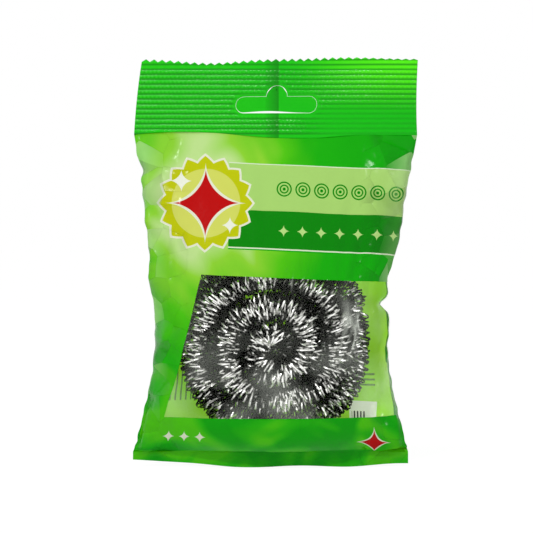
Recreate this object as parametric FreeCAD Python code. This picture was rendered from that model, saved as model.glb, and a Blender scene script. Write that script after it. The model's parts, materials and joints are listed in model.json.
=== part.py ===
"""Hang-packed spiral pot scrubber.

A steel rope of curled ribbon, wound into a round pad, lies loose in a sealed pillow bag of printed film.
The bag has a crimped header with a zig-zag edge, a hang slot that its die-cut tab still fills, a clear
window, a back seam folded flat as a fin, and a plain bottom seal.

Millimetres. The origin is the top of the hang slot, where a peg carries the bag. +Z is up, -Y is the front.
"""
import FreeCAD, Part
import math
import os

from FreeCAD import Vector

# Film: each ply is thicker than real film, so that it is a solid
FILM = 0.35
FIN_GAP = 0.1

# Hang slot and the tab that fills it
SLOT_WIDTH = 32.0
SLOT_HEIGHT = 6.5
BUMP_RADIUS = 4.15
TAB_GAP = 0.35
NECK_GAP = 1.0

# Crimped header, whose sides lean in towards its top edge
HEADER_WIDTH = 111.5
HEADER_LEAN = 1.5
HEADER_ABOVE_SLOT = 10.0
HEADER_BELOW_SLOT = 8.6
TOOTH_PITCH = 3.2
TOOTH_DEPTH = 1.0
RIB_PITCH = 1.94
RIB_WIDTH = 0.9
RIB_HEIGHT = 0.35
PLAIN_MARGIN = 1.2

# Back seam
FIN_WIDTH = 5.2
FIN_EDGE_X = 1.2

# Bottom seal, a little narrower than the header and off to the left: the filled bag hangs askew
BOTTOM_SEAL = 6.0
BOTTOM_TUCK = 1.25
BOTTOM_SHIFT = -2.0

# Scrubber winding: a spiral from the eye to the rim and back, in two layers
ROPE = 11.2
ROPE_SIDES = 8
ROPE_GAP = 0.8
EYE_RADIUS = 8.0
SPIRAL_TURNS = 2.25
CLIMB_TURNS = 0.5
DOME = 2.5
HEADROOM = 49.0
SEAT_GAP = 0.9

# Room that the bag's film leaves round the pad
FACE_ROOM = 1.6
SIDE_ROOM = 8.2

# Clear window in the front film
WINDOW_HEIGHT = 57.0
WINDOW_LEFT_TOP = 31.0
WINDOW_LEFT_BOTTOM = 43.0

# Shape of the filled bag: flat over the pad, round into the bottom seal and straight up to the header
LOWER_FULLNESS = 9.0
LOWER_ROUNDING = 0.4
PAD_COVER = 0.38
WAIST_FLARE = 1.45

# Section of the bag: a high flatness gives a flat face, and an edge power over 1 draws the creases out
PAD_FLATNESS = 7.5
PAD_EDGE_POWER = 1.2
BOTTOM_FLATNESS = 1.5
BELLY_FLATNESS = 2.2
BELLY_EDGE_POWER = 0.5

# Flat facets of the film
LOWER_STEPS = 7
LOWER_CROWDING = 1.4
COVER_STEPS = 2
BELLY_STEPS = 3
SIDE_STEPS = 5
SIDE_CROWDING = 0.5

# Widths that follow the header's
HEADER_TOP_WIDTH = HEADER_WIDTH - 2 * HEADER_LEAN
BOTTOM_WIDTH = HEADER_WIDTH - 2 * BOTTOM_TUCK

# Heights, worked out downwards from the slot
SHOULDER_Z = -BUMP_RADIUS
SLOT_BOTTOM_Z = SHOULDER_Z - SLOT_HEIGHT
HEADER_BASE_Z = SLOT_BOTTOM_Z - HEADER_BELOW_SLOT
TURN_PITCH = ROPE + ROPE_GAP
RIM_RADIUS = EYE_RADIUS + SPIRAL_TURNS * TURN_PITCH
LAYER_Y = TURN_PITCH / 2
PAD_ABOVE = RIM_RADIUS - TURN_PITCH / 2 + ROPE / 2
PAD_BELOW = RIM_RADIUS + ROPE / 2
PAD_HALF_WIDTH = RIM_RADIUS - TURN_PITCH / 4 + ROPE / 2
PAD_Z = HEADER_BASE_Z - HEADROOM - PAD_ABOVE
SEAL_TOP_Z = PAD_Z - PAD_BELOW - SEAT_GAP
BOTTOM_Z = SEAL_TOP_Z - BOTTOM_SEAL
BAG_DEPTH = LAYER_Y + DOME + ROPE / 2 + FACE_ROOM
WAIST_HALF_WIDTH = PAD_HALF_WIDTH + SIDE_ROOM
SEAM_X = FIN_EDGE_X - FIN_WIDTH
REACH = 2 * HEADER_WIDTH


def prism(points):
    """A solid with this outline in the XZ plane, long enough in Y to cut the whole bag."""
    outline = [Vector(x, -REACH, z) for x, z in points]
    outline.append(outline[0])
    return Part.Face(Part.makePolygon(outline)).extrude(Vector(0, 2 * REACH, 0))


def block(x_low, x_high, z_low, z_high):
    """A prism with a rectangular outline."""
    return prism([(x_low, z_low), (x_high, z_low), (x_high, z_high), (x_low, z_high)])


def slot_prism(gap, bump_gap):
    """The hang slot, a round-ended bar with a round bump on top, drawn in by the given gaps."""
    radius = SLOT_HEIGHT / 2 - gap
    reach = SLOT_WIDTH / 2 - SLOT_HEIGHT / 2
    middle_z = (SHOULDER_Z + SLOT_BOTTOM_Z) / 2
    along = Vector(0, 1, 0)
    shape = block(-reach, reach, middle_z - radius, middle_z + radius)
    for x in (-reach, reach):
        shape = shape.fuse(Part.makeCylinder(radius, 2 * REACH, Vector(x, -REACH, middle_z), along))
    bump_base = Vector(0, -REACH, SHOULDER_Z)
    bump = Part.makeCylinder(BUMP_RADIUS - bump_gap, 2 * REACH, bump_base, along)
    return shape.fuse(bump).removeSplitter()


def header_prism():
    """The header's outline: sides that lean in a little and a zig-zag top edge."""
    half_base = HEADER_WIDTH / 2
    half_top = HEADER_TOP_WIDTH / 2
    teeth = round(HEADER_TOP_WIDTH / TOOTH_PITCH)
    step = HEADER_TOP_WIDTH / teeth
    outline = [(-half_base, HEADER_BASE_Z), (half_base, HEADER_BASE_Z)]
    for tooth in range(teeth):
        x = half_top - tooth * step
        outline.append((x, HEADER_ABOVE_SLOT - TOOTH_DEPTH))
        outline.append((x - step / 2, HEADER_ABOVE_SLOT))
    outline.append((-half_top, HEADER_ABOVE_SLOT - TOOTH_DEPTH))
    return prism(outline)


def crimped_strip(x_low, x_high, y_front, thickness):
    """Film pressed into level ribs that stand out to the front, over the header's whole height."""
    rib_top_limit = HEADER_ABOVE_SLOT - TOOTH_DEPTH - PLAIN_MARGIN - RIB_WIDTH
    front = [(y_front, HEADER_BASE_Z)]
    rib_z = HEADER_BASE_Z + PLAIN_MARGIN
    while rib_z <= rib_top_limit:
        front.append((y_front, rib_z))
        front.append((y_front - RIB_HEIGHT, rib_z + RIB_WIDTH / 2))
        front.append((y_front, rib_z + RIB_WIDTH))
        rib_z += RIB_PITCH
    front.append((y_front, HEADER_ABOVE_SLOT))
    back = [(y + thickness, z) for y, z in reversed(front)]
    outline = [Vector(x_low, y, z) for y, z in front + back]
    outline.append(outline[0])
    return Part.Face(Part.makePolygon(outline)).extrude(Vector(x_high - x_low, 0, 0))


def header_ply(x_low, x_high, y_front, thickness):
    """One layer of the header, cut to its outline and by the hang slot."""
    strip = crimped_strip(x_low, x_high, y_front, thickness)
    return strip.common(header_prism()).cut(slot_prism(0, 0))


def header_fin():
    """The back seam's two plies behind the header, in two lengths: above and below the slot."""
    strip = header_ply(SEAM_X, FIN_EDGE_X, FILM, 2 * FILM)
    middle_z = (SHOULDER_Z + SLOT_BOTTOM_Z) / 2
    above = block(-REACH, REACH, middle_z, REACH)
    return strip.common(above), strip.cut(above)


def hang_tab():
    """The flat piece left in the slot, both plies and the seam's fin sealed together."""
    outline = slot_prism(TAB_GAP, NECK_GAP)
    plies = Part.makeBox(SLOT_WIDTH, 2 * FILM, REACH, Vector(-SLOT_WIDTH / 2, -FILM, -REACH / 2))
    fin = Part.makeBox(FIN_WIDTH, 2 * FILM, REACH, Vector(SEAM_X, FILM, -REACH / 2))
    return plies.fuse(fin).common(outline).removeSplitter()


def sideways(z):
    """How far the hanging bag has moved sideways at a height: not at all at its header."""
    return BOTTOM_SHIFT * (HEADER_BASE_Z - z) / (HEADER_BASE_Z - SEAL_TOP_Z)


def between(first, last, share):
    """The value at a share of the way from the first to the last."""
    return first + (last - first) * share


def level_below(share):
    """Height, half width, depth and section of the bag at a share of the way from the pad down to the seal."""
    z = between(PAD_Z, SEAL_TOP_Z, share)
    half_width = between(WAIST_HALF_WIDTH, BOTTOM_WIDTH / 2, share**WAIST_FLARE)
    depth = BAG_DEPTH * (1 - share**LOWER_FULLNESS) ** LOWER_ROUNDING
    return z, half_width, depth, between(PAD_FLATNESS, BOTTOM_FLATNESS, share), PAD_EDGE_POWER


def level_above(share):
    """The same, at a share of the way from the pad up to the header."""
    z = between(PAD_Z, HEADER_BASE_Z, share)
    half_width = between(WAIST_HALF_WIDTH, HEADER_WIDTH / 2, share**WAIST_FLARE)
    depth = BAG_DEPTH * min(1, (1 - share) / (1 - PAD_COVER))
    belly = min(1, share / PAD_COVER)
    flatness = between(PAD_FLATNESS, BELLY_FLATNESS, belly)
    return z, half_width, depth, flatness, between(PAD_EDGE_POWER, BELLY_EDGE_POWER, belly)


def bag_levels():
    """Levels up the filled bag, closer together where it rounds in to the bottom seal."""
    lower = [level_below(1 - (step / LOWER_STEPS) ** LOWER_CROWDING) for step in range(LOWER_STEPS)]
    over_pad = [level_above(PAD_COVER * step / COVER_STEPS) for step in range(COVER_STEPS)]
    belly = [level_above(between(PAD_COVER, 1, step / BELLY_STEPS)) for step in range(BELLY_STEPS + 1)]
    return lower + over_pad + belly


def film_profile(level):
    """Points of the film across the bag at one level, closer together towards the creases."""
    z, half_width, depth, flatness, edge_power = level
    points = []
    for step in range(-SIDE_STEPS, SIDE_STEPS + 1):
        share = (abs(step) / SIDE_STEPS) ** SIDE_CROWDING
        x = math.copysign(share * half_width, step) + sideways(z)
        points.append(Vector(x, depth * (1 - share**flatness) ** edge_power, z))
    return points


def film_panel(side, lift, thickness):
    """Film over the bag's front (side -1) or back (side 1). Film bends one way at a time: flat facets."""
    rows = [[Vector(p.x, side * (p.y + lift), p.z) for p in film_profile(level)] for level in bag_levels()]
    through = Vector(0, side * thickness, 0)
    facets = []
    for lower, upper in zip(rows, rows[1:]):
        for a, b, c, d in zip(lower, lower[1:], upper[1:], upper):
            facets += [[a, b, c], [a, c, d]]
    facets += [[corner + through for corner in facet] for facet in facets]
    left = [row[0] for row in rows]
    right = [row[-1] for row in rows]
    for border in (rows[0], rows[-1], left, right):
        for a, b in zip(border, border[1:]):
            facets.append([a, b, b + through, a + through])
    shell = Part.Shell([Part.Face(Part.makePolygon(facet + facet[:1])) for facet in facets])
    sheet = Part.Solid(shell)
    if sheet.Volume < 0:
        sheet.reverse()
    return sheet


def window_prism():
    """The window's outline: level above and below, leaning on the left, open to the right-hand edge."""
    top = PAD_Z + WINDOW_HEIGHT / 2
    bottom = PAD_Z - WINDOW_HEIGHT / 2
    return prism([(-WINDOW_LEFT_BOTTOM, bottom), (REACH, bottom), (REACH, top), (-WINDOW_LEFT_TOP, top)])


def bottom_ply(side):
    """One ply of the flat bottom seal."""
    corner = Vector(BOTTOM_SHIFT - BOTTOM_WIDTH / 2, min(0, side * FILM), BOTTOM_Z)
    return Part.makeBox(BOTTOM_WIDTH, FILM, BOTTOM_SEAL, corner)


def seam_strip(x_low, x_high):
    """The stretch of the back film between two lines that follow the seam down the askew bag."""
    shift = sideways(SEAL_TOP_Z)
    lower = [(x_low + shift, SEAL_TOP_Z), (x_high + shift, SEAL_TOP_Z)]
    return prism(lower + [(x_high, HEADER_BASE_Z), (x_low, HEADER_BASE_Z)])


def back_fin():
    """The back seam's fin, folded flat on the back film and on the bottom seal."""
    lift = FILM + FIN_GAP
    on_panel = film_panel(1, lift, 2 * FILM).common(seam_strip(SEAM_X, FIN_EDGE_X))
    corner = Vector(SEAM_X + BOTTOM_SHIFT, lift, BOTTOM_Z)
    on_seal = Part.makeBox(FIN_WIDTH, 2 * FILM, BOTTOM_SEAL, corner)
    return on_panel.fuse(on_seal)


def winding_point(turn):
    """The rope's middle line after this many turns from the eye: out in front, back in behind."""
    reversal = SPIRAL_TURNS
    radius = RIM_RADIUS - TURN_PITCH * abs(turn - reversal)
    climb = max(-1.0, min(1.0, (turn - reversal) / (CLIMB_TURNS / 2)))
    rise = DOME * (1 - (radius - EYE_RADIUS) / (RIM_RADIUS - EYE_RADIUS))
    y = (LAYER_Y + rise) * math.sin(climb * math.pi / 2)
    angle = 2 * math.pi * (turn - reversal) - math.pi / 2
    return Vector(radius * math.cos(angle), y, PAD_Z + radius * math.sin(angle))


def winding_direction(turn):
    """The rope's direction there."""
    step = 1e-4
    ahead = min(turn + step, 2 * SPIRAL_TURNS)
    behind = max(turn - step, 0)
    return (winding_point(ahead) - winding_point(behind)).normalize()


def tangent_arc(start, direction, end):
    """The arc that leaves start in this direction and reaches end."""
    chord = end - start
    along = Vector(chord).normalize()
    across = direction - along * direction.dot(along)
    half_angle = direction.getAngle(along)
    bulge = chord.Length / 2 * math.tan(half_angle / 2)
    middle = (start + end) * 0.5 + across.normalize() * bulge
    return Part.Arc(start, middle, end).toShape()


def biarc(start, leaving, end, arriving):
    """Two arcs that join two points with the given directions, and share one direction where they meet."""
    chord = end - start
    both = leaving + arriving
    spread = 2 * (1 - leaving.dot(arriving))
    along = chord.dot(both)
    reach = (math.sqrt(along**2 + spread * chord.dot(chord)) - along) / spread
    meeting = (start + end + (leaving - arriving) * reach) * 0.5
    second = tangent_arc(end, arriving * -1, meeting)
    return [tangent_arc(start, leaving, meeting), second]


def scrubber_coil():
    """The wound rope as one unbroken tube with flat facets."""
    stations = [quarter / 4 for quarter in range(round(8 * SPIRAL_TURNS) + 1)]
    edges = []
    for first, second in zip(stations, stations[1:]):
        edges += biarc(
            winding_point(first), winding_direction(first), winding_point(second), winding_direction(second)
        )
    path = Part.Wire(Part.__sortEdges__(edges))
    start = winding_point(0)
    forward = winding_direction(0)
    sideways = forward.cross(Vector(0, 1, 0)).normalize()
    upward = sideways.cross(forward)
    ring = []
    for corner in range(ROPE_SIDES + 1):
        angle = 2 * math.pi * corner / ROPE_SIDES
        ring.append(start + (sideways * math.cos(angle) + upward * math.sin(angle)) * (ROPE / 2))
    return path.makePipeShell([Part.makePolygon(ring)], True, False)


def least_gap():
    """The winding's least gap to itself, measured on points of its middle line over half a turn apart."""
    steps = 24
    count = round(2 * SPIRAL_TURNS * steps)
    points = [winding_point(index / steps) for index in range(count + 1)]
    gaps = []
    for first in range(count + 1):
        for second in range(first + steps // 2, count + 1):
            gaps.append(points[first].distanceToPoint(points[second]) - ROPE)
    return min(gaps)


def all_parts():
    """Every piece under its name."""
    front = film_panel(-1, 0, FILM)
    back = film_panel(1, 0, FILM)
    window = window_prism()
    left_of_seam = seam_strip(-REACH, SEAM_X)
    half_header = HEADER_WIDTH / 2
    fin_upper, fin_lower = header_fin()
    return {
        "header_front_ply": header_ply(-half_header, half_header, -FILM, FILM),
        "header_back_ply": header_ply(-half_header, half_header, 0, FILM),
        "header_fin_upper": fin_upper,
        "header_fin_lower": fin_lower,
        "hang_tab": hang_tab(),
        "front_panel": front.cut(window),
        "window_pane": front.common(window),
        "back_panel_left": back.common(left_of_seam),
        "back_panel_right": back.cut(left_of_seam),
        "back_fin": back_fin(),
        "bottom_seal_front": bottom_ply(-1),
        "bottom_seal_back": bottom_ply(1),
        "scrubber_coil": scrubber_coil(),
    }


os.makedirs("parts", exist_ok=True)
for name, shape in all_parts().items():
    shape.exportStep(f"parts/{name}.step")
    print(name, "solids", len(shape.Solids), "valid", shape.isValid(), "volume", round(shape.Volume, 1))
print("least gap of the winding to itself", round(least_gap(), 3), "mm")
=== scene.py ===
# %% [markdown]
# # A spiral pot scrubber in its hang pack
# A steel rope of curled ribbon is wound into a round pad and sealed in a bag of printed film. The bag has a
# crimped header with a hang slot, a clear window and a seam down its back. The solids of every piece come
# from the CAD frame: this lesson gives them film that creases, ribbon that curls, print and light.

# %% Load the frame
import json
import math

import bpy
import numpy as np
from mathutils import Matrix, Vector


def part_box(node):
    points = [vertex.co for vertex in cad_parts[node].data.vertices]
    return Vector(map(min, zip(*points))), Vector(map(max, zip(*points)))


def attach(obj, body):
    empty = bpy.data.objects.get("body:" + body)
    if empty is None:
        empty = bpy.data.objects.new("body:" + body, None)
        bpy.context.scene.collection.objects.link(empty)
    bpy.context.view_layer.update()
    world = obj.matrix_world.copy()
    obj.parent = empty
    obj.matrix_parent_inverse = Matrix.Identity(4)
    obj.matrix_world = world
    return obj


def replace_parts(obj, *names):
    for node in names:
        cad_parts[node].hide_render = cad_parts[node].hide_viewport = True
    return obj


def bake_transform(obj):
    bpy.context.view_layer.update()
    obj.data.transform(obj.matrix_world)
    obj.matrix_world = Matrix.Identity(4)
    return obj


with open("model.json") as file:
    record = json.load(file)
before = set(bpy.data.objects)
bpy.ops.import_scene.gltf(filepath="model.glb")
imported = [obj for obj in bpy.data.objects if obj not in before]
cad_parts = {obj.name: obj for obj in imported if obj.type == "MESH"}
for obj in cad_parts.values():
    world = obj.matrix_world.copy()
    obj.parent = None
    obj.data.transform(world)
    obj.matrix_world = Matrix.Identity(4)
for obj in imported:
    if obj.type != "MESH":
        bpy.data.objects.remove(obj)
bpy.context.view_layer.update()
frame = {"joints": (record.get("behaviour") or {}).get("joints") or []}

MM = 0.001

# %% [markdown]
# Two small helpers serve the whole lesson. Colours are written as sRGB hex values, as a colour picker shows
# them, and Blender's shaders want linear light, so one function converts. Another adds a node to any tree
# with its settings and its links in one line.


# %% Helpers for colours and nodes
def linear(hex_colour):
    """An sRGB hex colour as linear red, green, blue and alpha."""
    channels = [int(hex_colour[start : start + 2], 16) / 255 for start in (1, 3, 5)]
    light = [c / 12.92 if c <= 0.04045 else ((c + 0.055) / 1.055) ** 2.4 for c in channels]
    return (*light, 1.0)


def add_node(tree, kind, inputs=None, **settings):
    """A new node. Inputs maps a socket's name or number to a value, or to an output that is linked to it."""
    node = tree.nodes.new(kind)
    for name, value in settings.items():
        setattr(node, name, value)
    for name, value in (inputs or {}).items():
        if isinstance(value, bpy.types.NodeSocket):
            tree.links.new(value, node.inputs[name])
        else:
            node.inputs[name].default_value = value
    return node


def new_material(name):
    """An empty node material: its tree, and its output node."""
    material = bpy.data.materials.new(name)
    material.use_nodes = True
    material.node_tree.nodes.clear()
    output = add_node(material.node_tree, "ShaderNodeOutputMaterial")
    return material, material.node_tree, output


print("white in linear light:", linear("#FFFFFF"))

# %% [markdown]
# The sizes come from the frame's boxes, so that every piece lands on its solid. Only what a box can't tell is
# written here again: the hang slot's outline, and the rule that the rope is wound by.

# %% Sizes from the frame
header_low, header_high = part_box("header_front_ply")
seal_low, seal_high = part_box("bottom_seal_front")
coil_low, coil_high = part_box("scrubber_coil")
fin_low, fin_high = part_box("header_fin_upper")

HEADER_HALF = header_high.x
HEADER_BASE = header_low.z
HEADER_TOP = header_high.z
SEAL_HALF = (seal_high.x - seal_low.x) / 2
SEAL_TOP = seal_high.z
SEAL_BOTTOM = seal_low.z
PAD_DEPTH = coil_high.y
print("header", round(HEADER_BASE / MM, 2), "to", round(HEADER_TOP / MM, 2), "mm; pad depth", PAD_DEPTH / MM)

# Winding of the rope, as the solid's: a spiral from the eye to the rim in front, and back again behind
ROPE = 11.2 * MM
TURN_PITCH = 12.0 * MM
EYE_RADIUS = 8.0 * MM
SPIRAL_TURNS = 2.25
DOME = 2.5 * MM
RIM_RADIUS = EYE_RADIUS + SPIRAL_TURNS * TURN_PITCH
PAD_MIDDLE = coil_low.z + RIM_RADIUS + ROPE / 2
TRAVEL = frame["joints"][1]["range_m"][1]
print("pad's middle at", round(PAD_MIDDLE / MM, 2), "mm, travel", TRAVEL / MM, "mm")

# %% [markdown]
# ## Camera, floor and light
# The photograph looks straight at the front from far away, so a long lens keeps the bag's sides parallel.
# The floor is white and the world shows white to the camera, while the light on the object stays plain.

# %% Camera
VIEW_WIDTH = 210.5 * MM
VIEW_MIDDLE_X = -3.6 * MM
VIEW_MIDDLE_Z = -71.0 * MM
LENS = 130.0
SENSOR = 36.0
CAMERA_RISE = math.radians(2.0)

camera_data = bpy.data.cameras.new("camera")
camera_data.lens = LENS
camera_data.sensor_width = SENSOR
camera = bpy.data.objects.new("camera", camera_data)
bpy.context.scene.collection.objects.link(camera)
distance = VIEW_WIDTH * LENS / SENSOR
camera.location = (
    VIEW_MIDDLE_X,
    -distance * math.cos(CAMERA_RISE),
    VIEW_MIDDLE_Z + distance * math.sin(CAMERA_RISE),
)
camera.rotation_euler = (math.pi / 2 - CAMERA_RISE, 0, 0)
bpy.context.scene.camera = camera
print("camera", round(distance, 3), "m away")

# %% Floor
FLOOR_HALF = 3.0
BOARD_GLOW = 0.85
BOARD_LIGHT = 1.11

floor_mesh = bpy.data.meshes.new("floor")
floor_mesh.from_pydata(
    [(x * FLOOR_HALF, y * FLOOR_HALF, SEAL_BOTTOM) for x, y in ((-1, -1), (1, -1), (1, 1), (-1, 1))],
    [],
    [(0, 1, 2, 3)],
)
floor = bpy.data.objects.new("floor", floor_mesh)
bpy.context.scene.collection.objects.link(floor)


def looked_at(tree):
    """1 where the camera looks, also by a reflection or through clear film, and 0 for all other rays."""
    path = add_node(tree, "ShaderNodeLightPath").outputs
    seen = add_node(
        tree, "ShaderNodeMath", {0: path["Is Camera Ray"], 1: path["Is Glossy Ray"]}, operation="MAXIMUM"
    )
    seen = add_node(
        tree, "ShaderNodeMath", {0: seen.outputs[0], 1: path["Is Transmission Ray"]}, operation="MAXIMUM"
    )
    return seen.outputs[0]


# Matt white board: the camera and reflections see it nearly white, and shadows still show on it
board, tree, output = new_material("matt_white_board")
glow_share = add_node(tree, "ShaderNodeMath", {0: looked_at(tree), 1: BOARD_GLOW}, operation="MULTIPLY")
paint = add_node(tree, "ShaderNodeBsdfDiffuse", {"Color": linear("#F4F4F2")})
glow = add_node(tree, "ShaderNodeEmission", {"Color": linear("#FFFFFF"), "Strength": BOARD_LIGHT})
mixed = add_node(
    tree, "ShaderNodeMixShader", {0: glow_share.outputs[0], 1: paint.outputs[0], 2: glow.outputs[0]}
)
tree.links.new(mixed.outputs[0], output.inputs["Surface"])
floor_mesh.materials.append(board)
print("floor at", round(SEAL_BOTTOM / MM, 1), "mm")

# %% World and lamps
WORLD_LIGHT = 0.42

world = bpy.data.worlds.new("white_studio")
bpy.context.scene.world = world
world.use_nodes = True
tree = world.node_tree
tree.nodes.clear()
strength = add_node(tree, "ShaderNodeMapRange", {0: looked_at(tree), 3: WORLD_LIGHT, 4: 1.0})
sky = add_node(tree, "ShaderNodeBackground", {"Color": linear("#FFFFFF"), "Strength": strength.outputs[0]})
add_node(tree, "ShaderNodeOutputWorld", {"Surface": sky.outputs[0]})


def soft_box(name, place, target, size, watts):
    """A square area lamp that faces a point."""
    data = bpy.data.lights.new(name, "AREA")
    data.size = size
    data.energy = watts
    lamp = bpy.data.objects.new(name, data)
    bpy.context.scene.collection.objects.link(lamp)
    lamp.location = place
    toward = [b - a for a, b in zip(place, target)]
    length = math.sqrt(sum(part * part for part in toward))
    lamp.rotation_euler = (math.acos(-toward[2] / length), 0, math.atan2(toward[1], toward[0]) - math.pi / 2)


bag_middle = (0, 0, VIEW_MIDDLE_Z)
soft_box("key_lamp", (-0.40, -0.60, 0.40), bag_middle, 0.07, 1.8)
soft_box("fill_lamp", (0.40, -0.75, -0.08), bag_middle, 0.08, 0.9)
soft_box("top_lamp", (-0.10, -0.25, 0.55), bag_middle, 0.10, 1.0)
bpy.context.scene.view_settings.view_transform = "Standard"
print("lamps:", [lamp.name for lamp in bpy.data.lights])

# %% [markdown]
# ## The bag: film that a simulation fills
# The bag is one tube of film, 111.5 mm wide when it lies flat, closed by the header and the bottom seal. The
# pad and some air fill it out: the sides draw in, and the spare length along them puckers. Modelling those
# creases by hand looks drawn. So the two flat walls become cloth that can't stretch, held at both seals and
# blown up over a smooth envelope of the pad, with room for the pad's travel. Cloth settings are made for
# clothes a metre long, so the bag is simulated twenty times its size and scaled back.
#
# The grid of points has a row along the window's top and bottom edge and a column along its left edge, so
# that print and window can be parted later without a cut.

# %% Flat film
LOWER_LENGTH = 25.3 * MM
WINDOW_LENGTH = 52.8 * MM
UPPER_LENGTH = 59.9 * MM
LOWER_ROWS = 16
WINDOW_ROWS = 35
UPPER_ROWS = 38
MARGIN_COLUMNS = 14
WINDOW_COLUMNS = 58
MARGIN_AT_TOP = -29.3 * MM
MARGIN_AT_BOTTOM = -43.0 * MM
WINDOW_LEAN = 0.042
LEAN_FROM = 48.0 * MM

ROWS = LOWER_ROWS + WINDOW_ROWS + UPPER_ROWS
COLUMNS = MARGIN_COLUMNS + WINDOW_COLUMNS
WINDOW_TOP = LOWER_LENGTH + WINDOW_LENGTH
FILM_LENGTH = WINDOW_TOP + UPPER_LENGTH

lower = np.linspace(0, LOWER_LENGTH, LOWER_ROWS + 1)[:-1]
across_window = np.linspace(LOWER_LENGTH, WINDOW_TOP, WINDOW_ROWS + 1)[:-1]
upper = np.linspace(WINDOW_TOP, FILM_LENGTH, UPPER_ROWS + 1)
level_v = np.concatenate([lower, across_window, upper])
flat_half = np.interp(level_v, [0, FILM_LENGTH], [SEAL_HALF, HEADER_HALF])
window_edge = np.interp(level_v, [LOWER_LENGTH, WINDOW_TOP], [MARGIN_AT_BOTTOM, MARGIN_AT_TOP])
flat_u = np.zeros((ROWS + 1, COLUMNS + 1))
for row in range(ROWS + 1):
    margin = np.linspace(-flat_half[row], window_edge[row], MARGIN_COLUMNS + 1)
    clear = np.linspace(window_edge[row], flat_half[row], WINDOW_COLUMNS + 1)
    flat_u[row] = np.concatenate([margin, clear[1:]])

# The window's top edge leans down to the right, and the rows near it lean with it
row_lean = np.interp(level_v, [LOWER_LENGTH, WINDOW_TOP, FILM_LENGTH], [0, WINDOW_LEAN, 0])
flat_v = level_v[:, None] + row_lean[:, None] * (LEAN_FROM - flat_u)
print("film grid", flat_u.shape, "of a wall", round(FILM_LENGTH / MM, 1), "mm long")

# %% Start shape
WAIST_HALF = 45.8 * MM
FULL_DEPTH = PAD_DEPTH + 1.8 * MM
PAD_COVER = 0.38
BOTTOM_SHIFT = (seal_high.x + seal_low.x) / 2

# Powers that shape the bag: its sides' curve, its round bottom, and how square and sharp its sections are
SIDE_POWER = 1.45
BOTTOM_POWER = 9
BOTTOM_ROUND = 0.4
SQUARE_AT_PAD = 7.5
SQUARE_LOST_BELOW = 6.0
SQUARE_LOST_ABOVE = 5.3
EDGE_AT_PAD = 1.2
EDGE_LOST_ABOVE = 0.7

# Steps along the middle of a wall, and from the middle of a section to its side
LINE_STEPS = 400
SECTION_STEPS = 120


def bag_level(z):
    """Half width, depth, squareness and edge power of the filled bag at a height, as the CAD shell's."""
    below = np.clip((PAD_MIDDLE - z) / (PAD_MIDDLE - SEAL_TOP), 0, 1)
    above = np.clip((z - PAD_MIDDLE) / (HEADER_BASE - PAD_MIDDLE), 0, 1)
    half = WAIST_HALF + (SEAL_HALF - WAIST_HALF) * below**SIDE_POWER
    half = half + (HEADER_HALF - WAIST_HALF) * above**SIDE_POWER
    depth = FULL_DEPTH * (1 - below**BOTTOM_POWER) ** BOTTOM_ROUND
    depth = depth * np.minimum(1, (1 - above) / (1 - PAD_COVER))
    uncovered = np.minimum(1, above / PAD_COVER)
    square = SQUARE_AT_PAD - SQUARE_LOST_BELOW * below - SQUARE_LOST_ABOVE * uncovered
    return half, depth, square, EDGE_AT_PAD - EDGE_LOST_ABOVE * uncovered


def askew(z):
    """Sideways shift of the bag at a height: none at the header, all of it at the bottom."""
    return BOTTOM_SHIFT * (HEADER_BASE - z) / (HEADER_BASE - SEAL_TOP)


# Points of the flat film go to the heights that they reach along the middle of the wall
line_z = np.linspace(SEAL_TOP, HEADER_BASE, LINE_STEPS)
line_depth = bag_level(line_z)[1]
line_length = np.concatenate([[0], np.cumsum(np.hypot(np.diff(line_z), np.diff(line_depth)))])
print("wall's length over the pad", round(line_length[-1] / MM, 1), "mm")
start_z = np.interp(flat_v / FILM_LENGTH * line_length[-1], line_length, line_z)
share = flat_u / flat_half[:, None]
start_x = np.zeros_like(flat_u)
start_y = np.zeros_like(flat_u)
section = np.linspace(0, 1, SECTION_STEPS)
for spot in np.ndindex(flat_u.shape):
    half, depth, square, edge_power = bag_level(start_z[spot])
    section_y = depth * (1 - section**square) ** edge_power
    reach = np.concatenate([[0], np.cumsum(np.hypot(half * np.diff(section), np.diff(section_y)))])
    along = abs(share[spot]) * reach[-1]
    start_x[spot] = np.sign(share[spot]) * np.interp(along, reach, half * section)
    start_y[spot] = np.interp(along, reach, section_y)

# The bag hangs a little askew, and a pinch on each side starts a fold that the filled bag has there. Each
# pinch has a side, a height, a depth and a spread
PINCHES = ((1, -86.0 * MM, 4.0 * MM, 2.5 * MM), (-1, -33.0 * MM, 1.5 * MM, 2.5 * MM))
PINCH_POWER = 6
RIPPLE_DEPTH = 0.3 * MM
RIPPLE_ACROSS = 5.0 * MM
RIPPLE_ALONG = 9.0 * MM
start_x = start_x + askew(start_z)
for side, z, depth, spread in PINCHES:
    near_edge = np.clip(side * share, 0, 1) ** PINCH_POWER
    start_x = start_x - side * depth * near_edge * np.exp(-(((start_z - z) / spread) ** 2))
ripple = RIPPLE_DEPTH * np.sin(start_x / RIPPLE_ACROSS) * np.sin(start_z / RIPPLE_ALONG) * (1 - share**2)
front_start = np.stack([start_x, -start_y + ripple, start_z], axis=2)
back_start = np.stack([start_x, start_y + ripple, start_z], axis=2)

# %% Pad envelope that the film is stretched over
ENVELOPE_ROOM = 1.4 * MM
ENVELOPE_POWER = 4.0
ENVELOPE_STEPS = 14
ENVELOPE_SPOKES = 96


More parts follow.
